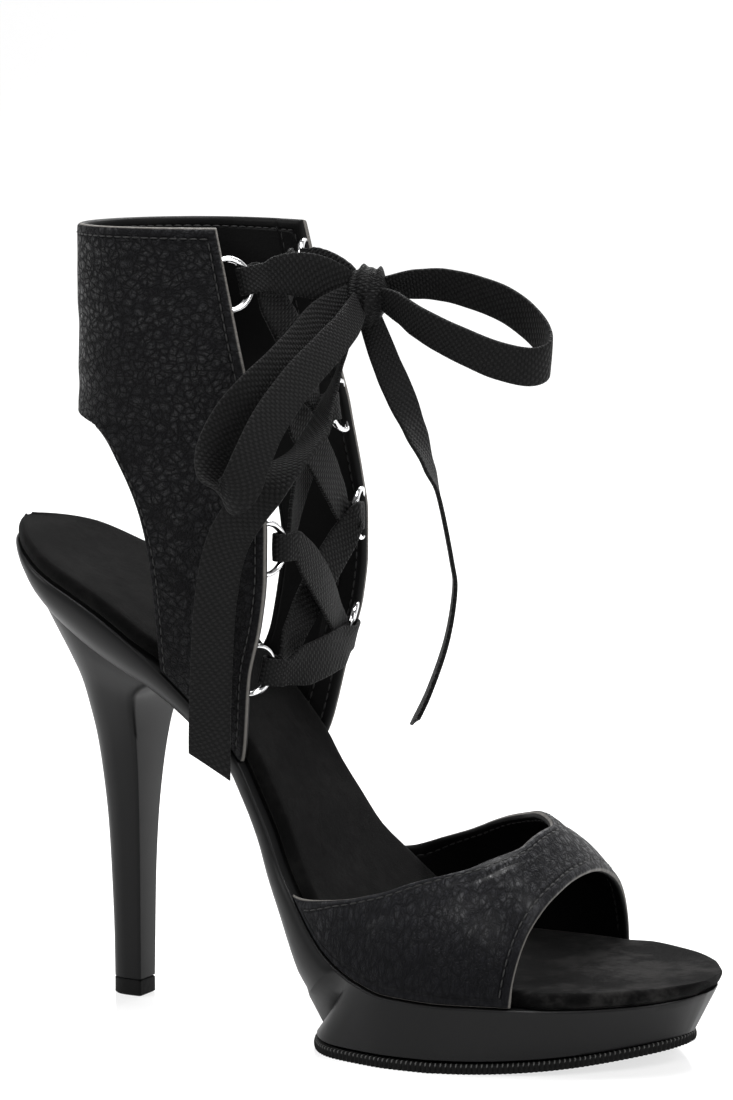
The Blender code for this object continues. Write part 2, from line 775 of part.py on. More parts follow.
BOW_ROUTES = {
    "bow_loop_medial": (
        (7.5, 2.5, 2.0), (13, 4.5, 2.2), (20, 6.5, 2.0), (28, 8.0, 0.2), (36, 8.8, -2.6),
        (43, 8.4, -6.8), (49, 5.6, -11.5), (52, 1.0, -15.5), (49, -3.2, -17.2), (41, -6.0, -15.6),
        (33, -7.4, -12.6), (25, -7.6, -9.4), (17.5, -6.2, -6.2), (11.5, -3.6, -3.4), (7.8, -1.6, -2.0),
    ),
    "bow_loop_lateral": (
        (-3.4, -8.4, -1.0), (-4.2, -17.0, -5.5), (-4.6, -25.0, -10.5), (-5.6, -35.0, -16.5),
        (-9.0, -43.5, -23.0), (-13.2, -47.5, -30.0), (-15.8, -50.5, -38.0), (-15.0, -52.0, -45.0),
        (-11.5, -52.8, -48.5), (-7.6, -52.6, -46.0), (-5.0, -51.0, -39.0), (-2.6, -46.5, -30.0),
        (0.4, -37.5, -20.5), (2.6, -26.0, -13.0), (3.0, -15.5, -7.5), (1.6, -8.6, -4.0),
    ),
    "lace_end_medial": (
        (1.6, -1.0, -7.9), (5.8, 0.0, -17.3), (9.5, 1.0, -26.0), (13.5, 2.0, -35.3), (17.2, 2.6, -44.5),
        (20.3, 3.0, -53.3), (23.8, 3.0, -68.7), (24.7, 3.0, -76.4), (22.4, 3.0, -89.7),
        (18.0, 2.0, -103.0), (13.6, 2.0, -111.8),
    ),
    "lace_end_lateral": (
        (-1.6, -2.8, -7.4), (-3.0, -7.5, -18.0), (-2.6, -16.5, -27.5), (-0.6, -28.5, -36.0),
        (-4.0, -39.6, -44.0), (-10.5, -43.2, -52.5), (-16.0, -44.6, -62.0), (-18.8, -45.4, -76.0),
        (-20.4, -44.8, -92.0), (-21.6, -43.8, -107.0), (-22.3, -42.8, -119.5),
    ),
}
# The way each ribbon's width lies at its start and at its end
BOW_WIDTHS = {
    "bow_loop_medial": (Vector((0.25, -0.35, 1.0)), Vector((0.25, -0.35, 1.0))),
    "bow_loop_lateral": (Vector((-0.4, -0.5, 0.8)), Vector((-0.4, -0.5, 0.8))),
    "lace_end_medial": (Vector((0.9, 0.4, 0.0)), Vector((-0.5, 0.9, 0.0))),
    "lace_end_lateral": (Vector((0.3, -0.3, 0.9)), Vector((0.95, 0.3, 0.0))),
}
GATHER = 0.55


def bow_widths(name, count):
    """Gathered at the knot, full width along the run."""
    shares = spread(count)
    if "loop" in name:
        return [LACE_WIDTH * blend(GATHER, 1, math.sin(math.pi * share) ** 0.5) for share in shares]
    return [LACE_WIDTH * blend(GATHER, 1, min(1, share * 3)) for share in shares]


for name, route in BOW_ROUTES.items():
    line = [KNOT_PLACE + Vector(point) / 1000 for point in route]
    for end in (0, -1) if "loop" in name else (0,):
        line[end] = KNOT_PLACE + Vector(route[end]).normalized() * (KNOT_SIZE / 2 + CLEARANCE)
    first, last = BOW_WIDTHS[name]
    ups = [first.lerp(last, min(1.0, 2 * share)) for share in spread(len(line))]
    ribbon(name, line, bow_widths(name, len(line)), ups)

# The finished shoe stands with the middle of its footprint, without the bow, on the origin
bpy.context.view_layer.update()
bow = ["lace_knot", *BOW_ROUTES]
graph = bpy.context.evaluated_depsgraph_get()
corners = []
for node in bpy.context.scene.objects:
    if node.type != "EMPTY" and not node.hide_render and node.name not in bow:
        shape = node.evaluated_get(graph).to_mesh()
        corners += [node.matrix_world @ vertex.co for vertex in shape.vertices]
        node.evaluated_get(graph).to_mesh_clear()
low = Vector([min(corner[k] for corner in corners) for k in range(3)])
high = Vector([max(corner[k] for corner in corners) for k in range(3)])
shoe.location = (-(low.x + high.x) / 2, -(low.y + high.y) / 2, -low.z)
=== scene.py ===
"""A black lace-up heel for the right foot: platform sole with a stiletto heel, padded footbed,
peep-toe strap, and an ankle cuff laced at the front through D-rings and tied in a bow."""

import bisect
import math

import bmesh
import bpy
from mathutils import Matrix, Vector, noise


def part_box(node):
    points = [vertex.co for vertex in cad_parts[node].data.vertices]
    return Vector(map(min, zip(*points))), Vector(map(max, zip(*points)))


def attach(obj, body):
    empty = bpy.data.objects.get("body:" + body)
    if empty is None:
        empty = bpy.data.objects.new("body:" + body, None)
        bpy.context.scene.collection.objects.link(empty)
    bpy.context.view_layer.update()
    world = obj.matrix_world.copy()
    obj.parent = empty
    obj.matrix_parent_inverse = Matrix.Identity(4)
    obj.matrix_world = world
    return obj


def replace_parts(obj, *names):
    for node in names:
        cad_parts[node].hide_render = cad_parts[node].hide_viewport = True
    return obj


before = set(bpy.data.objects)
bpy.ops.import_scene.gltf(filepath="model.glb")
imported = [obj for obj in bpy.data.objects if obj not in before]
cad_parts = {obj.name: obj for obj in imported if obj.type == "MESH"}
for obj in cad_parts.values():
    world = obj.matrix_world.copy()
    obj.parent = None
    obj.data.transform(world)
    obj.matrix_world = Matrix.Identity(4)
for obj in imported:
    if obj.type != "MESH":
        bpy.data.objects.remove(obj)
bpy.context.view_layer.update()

# The picture
# The shoe stands on a white sweep and is seen from its toe end and its outer side, a little from
# above. Every piece below is set out from the back of the seat, which is moved by "stand".
tip_low, tip_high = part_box("heel_top_piece")
BREAST = 0.0393
stand = Vector((tip_high.x - BREAST, (tip_low.y + tip_high.y) / 2, 0.0))

camera_data = bpy.data.cameras.new("camera")
camera_data.lens = 139.06
camera_data.sensor_width = 36.0
camera_data.clip_start = 0.01
camera = bpy.data.objects.new("camera", camera_data)
camera.location = Vector((0.6154, -0.9586, 0.2653)) + stand
camera.rotation_euler = (math.radians(82.6), 0.0, math.radians(28.0))
bpy.context.scene.collection.objects.link(camera)
bpy.context.scene.camera = camera


class Wire:
    """A socket in a finish: arithmetic on it adds Math nodes, and node() adds any other node."""

    def __init__(self, tree, socket=None):
        self.tree = tree
        self.socket = socket

    def node(self, kind, settings=None, sockets=None, output=0):
        made = self.tree.nodes.new("ShaderNode" + kind)
        for name, value in (settings or {}).items():
            if name == "stops":
                ramp = made.color_ramp.elements
                while len(ramp) < len(value):
                    ramp.new(1.0)
                for element, (place, colour) in zip(ramp, value):
                    element.position = place
                    element.color = (*colour, 1.0)
            else:
                setattr(made, name, value)
        for name, value in (sockets or {}).items():
            if isinstance(value, Wire):
                self.tree.links.new(value.socket, made.inputs[name])
            else:
                made.inputs[name].default_value = value
        return Wire(self.tree, made.outputs[output])

    def math(self, operation, *values):
        return self.node("Math", {"operation": operation}, dict(enumerate(values)))

    def __add__(self, other):
        return self.math("ADD", self, other)

    def __sub__(self, other):
        return self.math("SUBTRACT", self, other)

    def __rsub__(self, other):
        return self.math("SUBTRACT", other, self)

    def __mul__(self, other):
        return self.math("MULTIPLY", self, other)

    def __truediv__(self, other):
        return self.math("DIVIDE", self, other)

    __radd__ = __add__
    __rmul__ = __mul__

    def between(self, low, high):
        """0 below low, 1 above high, smooth between."""
        settings = {"interpolation_type": "SMOOTHSTEP"}
        return self.node("MapRange", settings, {"Value": self, "From Min": low, "From Max": high})

    def ridge(self, middle, width):
        """1 at middle, falling to 0 at width either side."""
        return 1 - (self - middle).math("ABSOLUTE", self - middle).between(0.0, width)


def new_finish(name, colour, roughness, **constants):
    """A material, its first wire and its shader. Constants go on the shader's own sockets."""
    made = bpy.data.materials.new(name)
    made.use_nodes = True
    shader = made.node_tree.nodes["Principled BSDF"]
    shader.inputs["Base Color"].default_value = (*colour, 1.0)
    shader.inputs["Roughness"].default_value = roughness
    for socket, value in constants.items():
        shader.inputs[socket.replace("_", " ")].default_value = value
    return made, Wire(made.node_tree), shader


def feed(shader, socket, wire):
    wire.tree.links.new(wire.socket, shader.inputs[socket])


def relief(shader, height, depth, strength=1.0):
    """Feeds a height, in units of depth metres, to the shader as a bump."""
    bump = height.node("Bump", {}, {"Height": height, "Distance": depth, "Strength": strength})
    feed(shader, "Normal", bump)


def area_light(name, place, aim, size, power, tint=(1.0, 1.0, 1.0), size_y=None):
    data = bpy.data.lights.new(name, "AREA")
    data.energy = power
    data.color = tint
    data.size = size
    if size_y:
        data.shape = "RECTANGLE"
        data.size_y = size_y
    lamp = bpy.data.objects.new(name, data)
    lamp.location = place
    lamp.rotation_euler = (Vector(aim) - Vector(place)).to_track_quat("-Z", "Y").to_euler()
    bpy.context.scene.collection.objects.link(lamp)


SHOE_MIDDLE = (0.0, 0.0, 0.10)
area_light("overhead_box", (0.0, 0.05, 1.10), SHOE_MIDDLE, 0.55, 13.0, size_y=0.45)
area_light("left_box", (-1.05, -0.60, 0.80), SHOE_MIDDLE, 0.3, 8.0, size_y=0.7)
area_light("right_box", (1.05, -0.10, 0.75), SHOE_MIDDLE, 0.3, 7.0, size_y=0.7)
area_light("rear_box", (-0.20, 0.80, 0.85), SHOE_MIDDLE, 0.6, 7.0, size_y=0.35)
area_light("front_box", (0.35, -1.30, 1.00), SHOE_MIDDLE, 0.5, 5.0, size_y=0.3)

world = bpy.data.worlds.new("studio")
world.use_nodes = True
world.node_tree.nodes["Background"].inputs["Color"].default_value = (1.0, 1.0, 1.0, 1.0)
world.node_tree.nodes["Background"].inputs["Strength"].default_value = 0.3
bpy.context.scene.world = world
bpy.context.scene.view_settings.view_transform = "Standard"

sweep_mesh = bmesh.new()
bmesh.ops.create_grid(sweep_mesh, x_segments=2, y_segments=40, size=3.0)
for corner in sweep_mesh.verts:
    depth = corner.co.y
    rise = max(0.0, depth - 1.0)
    corner.co = (corner.co.x * 1.6 - 0.5, min(depth, 1.0 + 0.9 * math.sin(min(rise, 1.4) / 0.9)), 0.0)
    if rise > 0:
        corner.co.z = 0.9 * (1 - math.cos(min(rise, 1.4) / 0.9)) + max(0.0, rise - 1.4)
sweep_data = bpy.data.meshes.new("studio_sweep")
sweep_mesh.to_mesh(sweep_data)
sweep_mesh.free()
sweep_data.shade_smooth()
sweep = bpy.data.objects.new("studio_sweep", sweep_data)
bpy.context.scene.collection.objects.link(sweep)
paper, wire, shader = new_finish("white_paper", (0.45, 0.45, 0.45), 0.12, Specular_IOR_Level=0.5)
shader.inputs["Emission Color"].default_value = (1.0, 1.0, 1.0, 1.0)
shader.inputs["Emission Strength"].default_value = 0.70
sweep_data.materials.append(paper)

# The sole unit
# One black plastic moulding: the platform, the shank and the heel seat with its stiletto. It is
# satin all over, with softened edges, a rim that the uppers stand on, and a flat heel breast.
LENGTH, SEAT_WIDTH, BALL_WIDTH = 0.2055, 0.057, 0.083
SEAT_HEIGHT, PLATFORM_HEIGHT, TOE_SPRING = 0.124, 0.0175, 0.0068
SHANK, BREAST_CORNER, TREAD, LIP, GAP = 0.006, 0.013, 0.0025, 0.0007, 0.0003
ARCH_END, PLATFORM_REAR, SPRING_START = 0.570, 0.595, 0.73


def table(names, *rows):
    return {name: [row[k] for row in rows] for k, name in enumerate(names.split())}


slopes = {}


def read(columns, by, column, at):
    """A column of a table at any value of another, on a smooth curve that never overshoots."""
    x, y = columns[by], columns[column]
    if at <= x[0]:
        return y[0]
    if at >= x[-1]:
        return y[-1]
    key = id(columns), column
    if key not in slopes:
        rise = [(y[i + 1] - y[i]) / (x[i + 1] - x[i]) for i in range(len(x) - 1)]
        inner = [2 * a * b / (a + b) if a * b > 0 else 0.0 for a, b in zip(rise, rise[1:])]
        slopes[key] = [rise[0], *inner, rise[-1]]
    i = bisect.bisect_right(x, at) - 1
    step = x[i + 1] - x[i]
    t = (at - x[i]) / step
    held = (1 + 2 * t) * (1 - t) ** 2 * y[i] + t * t * (3 - 2 * t) * y[i + 1]
    return held + step * (t * (1 - t) ** 2 * slopes[key][i] - t * t * (1 - t) * slopes[key][i + 1])


def rows_of(columns):
    """The rows of a table, each by its names."""
    return [dict(zip(columns, values)) for values in zip(*columns.values())]


def blend(a, b, t):
    return a + (b - a) * t


def ease(t):
    t = min(1.0, max(0.0, t))
    return t * t * (3 - 2 * t)


OUTLINE = table(
    "along lateral medial",
    (0.012, 0.055, 0.055),
    (0.020, 0.135, 0.135),
    (0.030, 0.200, 0.200),
    (0.050, 0.300, 0.295),
    (0.068, 0.370, 0.365),
    (0.100, 0.445, 0.440),
    (0.130, 0.478, 0.474),
    (0.190, 0.492, 0.488),
    (0.250, 0.474, 0.472),
    (0.340, 0.414, 0.407),
    (0.390, 0.367, 0.363),
    (0.413, 0.362, 0.356),
    (0.440, 0.369, 0.362),
    (0.490, 0.421, 0.405),
    (0.545, 0.467, 0.442),
    (0.600, 0.495, 0.461),
    (0.650, 0.515, 0.476),
    (0.700, 0.512, 0.476),
    (0.765, 0.477, 0.468),
    (0.835, 0.420, 0.437),
    (0.900, 0.328, 0.366),
    (0.945, 0.237, 0.263),
    (0.970, 0.162, 0.160),
    (0.982, 0.100, 0.100),
    (0.989, 0.030, 0.030),
)
BED = table(
    "along height lean thick belly",
    (0.012, 1.000, 8, 0.5, 0.60),
    (0.050, 0.979, 10, 0.9, 0.66),
    (0.100, 0.930, 15, 1.5, 0.72),
    (0.190, 0.842, 23, 1.9, 0.76),
    (0.250, 0.762, 34, 1.65, 0.78),
    (0.280, 0.714, 39, 1.35, 0.80),
    (0.340, 0.606, 45, 1.05, 0.80),
    (0.390, 0.502, 52, 0.95, 0.82),
    (0.413, 0.425, 56, 0.95, 0.82),
    (0.440, 0.340, 58.5, 1.05, 0.82),
    (0.462, 0.267, 59, 1.25, 0.80),
    (0.490, 0.203, 57, 1.6, 0.76),
    (0.545, 0.092, 52, 2.6, 0.68),
    (0.570, 0.059, 49, 3.3, 0.60),
    (0.595, 0.035, 45.5, 6.0, 0.97),
    (0.650, 0.0066, 37, 6.0, 0.97),
    (0.730, 0.0, 10, 6.0, 0.945),
    (0.800, 0.0, 2, 6.0, 0.885),
    (0.870, 0.001, 5, 6.0, 0.83),
    (0.930, 0.005, 16, 6.0, 0.76),
    (0.989, 0.0140, 25, 6.0, 0.66),
)
SIDES = {"lateral": -1, "medial": 1}


def half_width(along, side):
    width = blend(SEAT_WIDTH, BALL_WIDTH, ease((along - 0.28) / 0.32))
    return read(OUTLINE, "along", side, along) * width


def bed_height(along):
    return PLATFORM_HEIGHT + read(BED, "along", "height", along) * (SEAT_HEIGHT - PLATFORM_HEIGHT)


def ground_height(place):
    start = SPRING_START * LENGTH
    return TOE_SPRING * max(0.0, (place - start) / (LENGTH - start)) ** 1.8


def bed_lean(along):
    return math.radians(read(BED, "along", "lean", along))


def bed_point(along, over=0.0):
    lean = bed_lean(along)
    return along * LENGTH + over * math.sin(lean), bed_height(along) + over * math.cos(lean)


def sole_depth(along):
    lean, top = bed_lean(along), bed_height(along)
    depth = top
    for _ in range(6):
        ground = ground_height(along * LENGTH - depth * math.sin(lean))
        depth = (top - ground - TREAD - GAP) / math.cos(lean)
    if along < PLATFORM_REAR:
        return min(depth, read(BED, "along", "thick", along) * SHANK)
    return depth


def bottom_half(along, side):
    if along < PLATFORM_REAR:
        return half_width(along, side) * read(BED, "along", "belly", along)
    place = bed_point(along, -sole_depth(along))[0]
    reached = place / LENGTH if along < SPRING_START else along
    half = half_width(reached, side) * read(BED, "along", "belly", along)
    rear = bed_point(PLATFORM_REAR, -sole_depth(PLATFORM_REAR))[0]
    inside = max(0.0, BREAST_CORNER - max(0.0, place - rear))
    return half - BREAST_CORNER + math.sqrt(BREAST_CORNER**2 - inside**2)


def finer(values, parts):
    """Each step of a list cut into parts."""
    made = [blend(a, b, k / parts) for a, b in zip(values, values[1:]) for k in range(parts)]
    return made + [values[-1]]


def grow(sections, mesh=None, marks=None):
    """A closed body: the first section's face, extruded from each section to the next. Marks are
    (name, value per section, value per corner) of attributes for the finish."""
    mesh = mesh or bmesh.new()
    layers = [mesh.verts.layers.float.new(mark[0]) for mark in marks or ()]
    face = mesh.faces.new([mesh.verts.new(point) for point in sections[0]])
    for step, section in enumerate(sections):
        if step > 0:
            made = bmesh.ops.extrude_face_region(mesh, geom=[face])["geom"]
            if step > 1:
                bmesh.ops.delete(mesh, geom=[face], context="FACES_ONLY")
            face = next(part for part in made if isinstance(part, bmesh.types.BMFace))
        for index, (corner, point) in enumerate(zip(face.verts, section)):
            corner.co = point
            for layer, mark in zip(layers, marks or ()):
                corner[layer] = mark[1][step] + mark[2][index]
    return mesh


def piece(name, mesh, finishes, smooth=35):
    """Makes a finished mesh into a piece that stands in the row's frame and rides on the shoe."""
    mesh.normal_update()
    bmesh.ops.recalc_face_normals(mesh, faces=mesh.faces[:])
    bmesh.ops.translate(mesh, vec=stand, verts=mesh.verts[:])
    data = bpy.data.meshes.new(name)
    mesh.to_mesh(data)
    mesh.free()
    for finish in finishes:
        data.materials.append(finish)
    data.shade_smooth()
    data.set_sharp_from_angle(angle=math.radians(smooth))
    made = bpy.data.objects.new(name, data)
    bpy.context.scene.collection.objects.link(made)
    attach(made, "root")
    return made


SOLE_STOPS = [0.012, 0.016, 0.023, 0.035, 0.05, 0.068, 0.09, 0.115, 0.15, 0.19, 0.22, 0.25, 0.265]
SOLE_STOPS += [0.28, 0.31, 0.34, 0.365, 0.39, 0.413, 0.44, 0.462, 0.49, 0.517, 0.545, 0.57]
SOLE_STOPS += [PLATFORM_REAR, 0.608, 0.625, 0.65, 0.69, 0.73, 0.765, 0.80, 0.835, 0.87, 0.90, 0.925]
SOLE_STOPS += [0.945, 0.96, 0.972, 0.982, 0.989]
EDGE_SOFT = 0.0006


def sole_section(along):
    """The closed outline of the moulding square to the bed, with a softened rim and belly."""
    if ARCH_END < along < PLATFORM_REAR:
        share = (along - ARCH_END) / (PLATFORM_REAR - ARCH_END)
        return [a.lerp(b, share) for a, b in zip(sole_section(ARCH_END), sole_section(PLATFORM_REAR))]
    depth = sole_depth(along)
    grounded = along >= PLATFORM_REAR
    bulge = 1.0 if grounded else 2.2
    crown = 0.0 if grounded else 0.22 * SHANK
    top = {side: half_width(along, side) for side in SIDES}
    low = {side: bottom_half(along, side) for side in SIDES}
    soft = min(EDGE_SOFT, 0.3 * top["medial"], 0.3 * depth)

    def at(y, down):
        place, height = bed_point(along, -down)
        return Vector((place, y, height))

    points = []
    for share in (-1.0, -0.6, -0.3, 0.0, 0.3, 0.6, 1.0):
        middle = (top["medial"] - top["lateral"]) / 2
        reach = (top["medial"] + top["lateral"]) / 2 - soft
        points.append(at(middle + share * reach, 0.0))
    for side in ("medial", "lateral"):
        run = []
        for down in (0.0, 0.35, 1.0):
            run.append(at(SIDES[side] * (top[side] - soft * (1 - down) ** 2), soft * down))
        for down in (0.15, 0.3, 0.45, 0.6, 0.75, 0.88, 0.96):
            half = blend(top[side], low[side], down**bulge)
            run.append(at(SIDES[side] * half, blend(soft, depth, down)))
        if side == "medial":
            points += run[1:]
            for share in (0.96, 0.8, 0.5, 0.2, -0.2, -0.5, -0.8, -0.96):
                middle = (low["medial"] - low["lateral"]) / 2
                reach = (low["medial"] + low["lateral"]) / 2
                points.append(at(middle + share * reach, depth + crown * (1 - share * share)))
        else:
            points += run[:0:-1]
    return points


HEEL = table(
    "row back_height back front_height front width",
    (0, 0.038, -1.00, 0.038, 0.00, 1.00),
    (1, 0.127, -1.01, 0.127, 0.01, 1.06),
    (2, 0.259, -1.07, 0.259, 0.03, 1.15),
    (3, 0.384, -1.15, 0.384, 0.07, 1.38),
    (4, 0.484, -1.27, 0.484, 0.13, 1.76),
    (5, 0.566, -1.40, 0.556, 0.19, 2.20),
    (6, 0.639, -1.58, 0.617, 0.26, 2.80),
    (7, 0.703, -1.77, 0.663, 0.42, 3.50),
    (8, 0.761, -2.08, 0.688, 0.75, 4.25),
    (9, 0.818, -2.46, 0.704, 1.22, 4.95),
    (10, 0.870, -2.86, 0.712, 1.72, 5.40),
    (11, 0.915, -3.22, 0.716, 2.10, 5.60),
)
TIP_LENGTH, TIP_WIDTH = 0.0098, 0.0080


def heel_section(row, turns=20, grown=0.0):
    """A D across the heel: round behind, straight at the sides, and a flat breast."""
    back = BREAST + read(HEEL, "row", "back", row) * TIP_LENGTH - grown
    front = BREAST + read(HEEL, "row", "front", row) * TIP_LENGTH + grown
    low = read(HEEL, "row", "front_height", row) * SEAT_HEIGHT
    high = read(HEEL, "row", "back_height", row) * SEAT_HEIGHT
    half = read(HEEL, "row", "width", row) * TIP_WIDTH / 2 + grown
    places = []
    for step in range(turns + 1):
        angle = math.pi * step / turns - math.pi / 2
        places.append((0.55 * (1 - math.cos(angle)), math.sin(angle)))
    for share, width in ((0.75, 1.0), (0.90, 0.995), (0.965, 0.975), (0.995, 0.92), (1.0, 0.84)):
        places.append((share, width))
    for share, width in ((1.0, 0.84), (0.995, 0.92), (0.965, 0.975), (0.90, 0.995), (0.75, 1.0)):
        places.append((share, -width))
    return [
        Vector((blend(back, front, share), width * half, blend(high, low, share)))
        for share, width in places
    ]


plastic, wire, shader = new_finish("satin_plastic", (0.0032, 0.0032, 0.0034), 0.40, Specular_IOR_Level=0.15)
grain = wire.node("TexCoord", output=3)
haze = wire.node("TexNoise", {}, {"Vector": grain, "Scale": 38.0, "Detail": 3.0})
fine = wire.node("TexNoise", {}, {"Vector": grain, "Scale": 2600.0, "Detail": 2.0})
scuff = wire.node("TexNoise", {}, {"Vector": grain, "Scale": 260.0, "Detail": 6.0, "Roughness": 0.7})
feed(shader, "Roughness", 0.34 + haze * 0.10 + scuff.between(0.62, 0.74) * 0.08 + fine * 0.05)
relief(shader, haze * 0.5 + fine * 0.06, 0.0004, 0.3)

heel_mesh = grow([heel_section(row) for row in finer(list(range(12)), 5)])
heel = piece("heel_form", heel_mesh, [plastic])
moulding = piece("moulded_sole", grow([sole_section(s) for s in finer(SOLE_STOPS, 3)]), [plastic])
join = moulding.modifiers.new("heel", "BOOLEAN")
join.operation = "UNION"
join.object = heel
bpy.context.view_layer.update()
graph = bpy.context.evaluated_depsgraph_get()
joined = bpy.data.meshes.new_from_object(moulding.evaluated_get(graph))
moulding.modifiers.clear()
moulding.data = joined
joined.shade_smooth()
joined.set_sharp_from_angle(angle=math.radians(38))
bpy.data.objects.remove(heel)
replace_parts(moulding, "sole_unit")

# The heel's top piece
# A small pad of hard rubber, pinned under the heel tip and trimmed flush with it.
rubber, wire, shader = new_finish("tread_rubber", (0.0036, 0.0036, 0.0036), 0.62, Specular_IOR_Level=0.10)
place = wire.node("TexCoord", output=3)
dust = wire.node("TexNoise", {}, {"Vector": place, "Scale": 900.0, "Detail": 5.0})
dot = wire.node("Attribute", {"attribute_name": "dot"}, output=2)
shade = wire.node("Mix", {"data_type": "RGBA"}, {"Factor": dot.between(0.25, 0.75), "A": (0.0036, 0.0036, 0.0036, 1), "B": (0.09, 0.09, 0.088, 1)}, output=2)
feed(shader, "Base Color", shade)
feed(shader, "Roughness", 0.5 + dust * 0.25)
relief(shader, dust, 0.0002, 0.5)
TOP_PIECE = 0.038 * SEAT_HEIGHT - GAP
pad_rows = ((0.0, -0.0004), (0.0003, 0.0), (TOP_PIECE - 0.0003, 0.0), (TOP_PIECE, -0.0003))
pad = grow([[Vector((p.x, p.y, z)) for p in heel_section(0, grown=g)] for z, g in pad_rows])
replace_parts(piece("heel_pad", pad, [rubber]), "heel_top_piece")

# The outsole
# A thin rubber tread cemented under the platform. Its lip stands out past the plastic, has a
# sawn edge all round and a row of fine pressed dots above it.
TOOTH = 0.0013


def tread_rim(along, side, out):
    place = bed_point(along, -sole_depth(along))[0]
    return Vector((place, SIDES[side] * (bottom_half(along, side) + out), ground_height(place)))


tread_stops = finer([s for s in SOLE_STOPS if s >= PLATFORM_REAR], 4)
rim = [tread_rim(s, "lateral", LIP) for s in tread_stops] + [tread_rim(s, "medial", LIP) for s in reversed(tread_stops)]
rim[0].x -= LIP
rim[-1].x -= LIP


def walk(points, pitch, closed=True):
    """Points at even steps along a line."""
    line = points + [points[0]] if closed else points
    spots, carried = [], 0.0
    for a, b in zip(line, line[1:]):
        run = (b - a).length
        while carried < run:
            spots.append(a.lerp(b, carried / run))
            carried += pitch
        carried -= run
    return spots


rim_points = walk(rim, TOOTH / 4)
tread = bmesh.new()
dot_layer = tread.verts.layers.float.new("dot")
loops = []
for height, out in ((0.0, -0.0016), (0.0, -0.0002), (0.0007, 0.0), (0.0014, 0.0), (TREAD - 0.0003, -0.0002), (TREAD, -0.0006), (TREAD, -0.0030)):
    loop = []
    for index, point in enumerate(rim_points):
        ahead = rim_points[(index + 6) % len(rim_points)] - rim_points[index - 6]
        outward = Vector((ahead.y, -ahead.x, 0.0)).normalized()
        tooth = 0.00045 * (abs((index % 4) - 2) / 2) if 0.0 <= height < 0.002 and out > -0.001 else 0.0
        loop.append(tread.verts.new(point + outward * (out - tooth) + Vector((0, 0, height))))
        loop[-1][dot_layer] = float(index % 4 == 0 and height > 0.002 and out > -0.001)
    edges = [tread.edges.new((loop[k - 1], loop[k])) for k in range(len(loop))]
    if loops:
        bmesh.ops.bridge_loops(tread, edges=loops[-1] + edges)
    loops.append(edges)
for edges in (loops[0], loops[-1]):
    bmesh.ops.triangle_fill(tread, use_beauty=True, edges=edges)
outsole = piece("rubber_outsole", tread, [rubber], smooth=30)
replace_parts(outsole, "outsole")

# The footbed
# A padded board covered in black suede cloth, which is wrapped round its edge and cemented down.
# It is a little dished, and bare all over.
INSOLE, FREE_RIM, WALL_ON_RIM = 0.0040, 0.0006, 0.0022
RIM_ROOM = table("along share", (0.0, 0.0), (0.24, 0.0), (0.28, 1.15), (0.80, 1.30), (0.84, 0.0), (1.0, 0.0))


def insole_section(along):
    inset = FREE_RIM + read(RIM_ROOM, "along", "share", along) * WALL_ON_RIM
    lateral, medial = (half_width(along, side) - inset for side in ("lateral", "medial"))
    middle, reach = (medial - lateral) / 2, (medial + lateral) / 2
    roll = min(INSOLE * 0.5, reach * 0.4)
    places = [(-reach + roll * 0.3, 0.0), (reach - roll * 0.3, 0.0)]
    for turn in range(1, 8):
        angle = math.pi * turn / 8 - math.pi / 2
        places.append((reach - roll * (1 - math.cos(angle)), INSOLE / 2 * (1 + math.sin(angle))))
    for share in (1.0, 0.9, 0.7, 0.45, 0.2, 0.0, -0.2, -0.45, -0.7, -0.9, -1.0):
        dish = 0.12 * (1 - abs(share) ** 3) * INSOLE
        places.append(((reach - roll) * share, INSOLE - dish))
    for turn in range(1, 8):
        angle = math.pi / 2 - math.pi * turn / 8
        places.append((-reach + roll * (1 - math.cos(angle)), INSOLE / 2 * (1 + math.sin(angle))))
    points = []
    for y, over in places:
        place, height = bed_point(along, GAP + over)
        points.append(Vector((place, middle + y, height)))
    return points


suede, wire, shader = new_finish(
    "footbed_suede", (0.003, 0.003, 0.003), 0.95, Sheen_Weight=0.03, Sheen_Roughness=0.45, Specular_IOR_Level=0.05
)
place = wire.node("TexCoord", output=3)
brushed = wire.node("TexNoise", {}, {"Vector": place, "Scale": 55.0, "Detail": 4.0, "Distortion": 0.6})
patches = wire.node("TexNoise", {}, {"Vector": place, "Scale": 210.0, "Detail": 5.0, "Roughness": 0.65})
nap = wire.node("TexNoise", {}, {"Vector": place, "Scale": 3800.0, "Detail": 4.0, "Roughness": 0.7})
toeward = wire.node("SeparateXYZ", {}, {"Vector": place}).between(0.0, 0.07)
worn = (brushed * 0.5 + patches * 0.5).between(0.45, 0.62) * (0.15 + toeward * 0.6)
shade = wire.node("Mix", {"data_type": "RGBA"}, {"Factor": worn, "A": (0.0014, 0.0014, 0.0014, 1), "B": (0.0190, 0.0184, 0.0178, 1)}, output=2)
feed(shader, "Base Color", shade)
relief(shader, nap * 0.6 + patches * 0.8, 0.0006, 0.6)
insole_stops = finer([s for s in SOLE_STOPS if s < 0.985], 3)
footbed = piece("suede_footbed", grow([insole_section(s) for s in insole_stops]), [suede], smooth=70)
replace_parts(footbed, "insole")

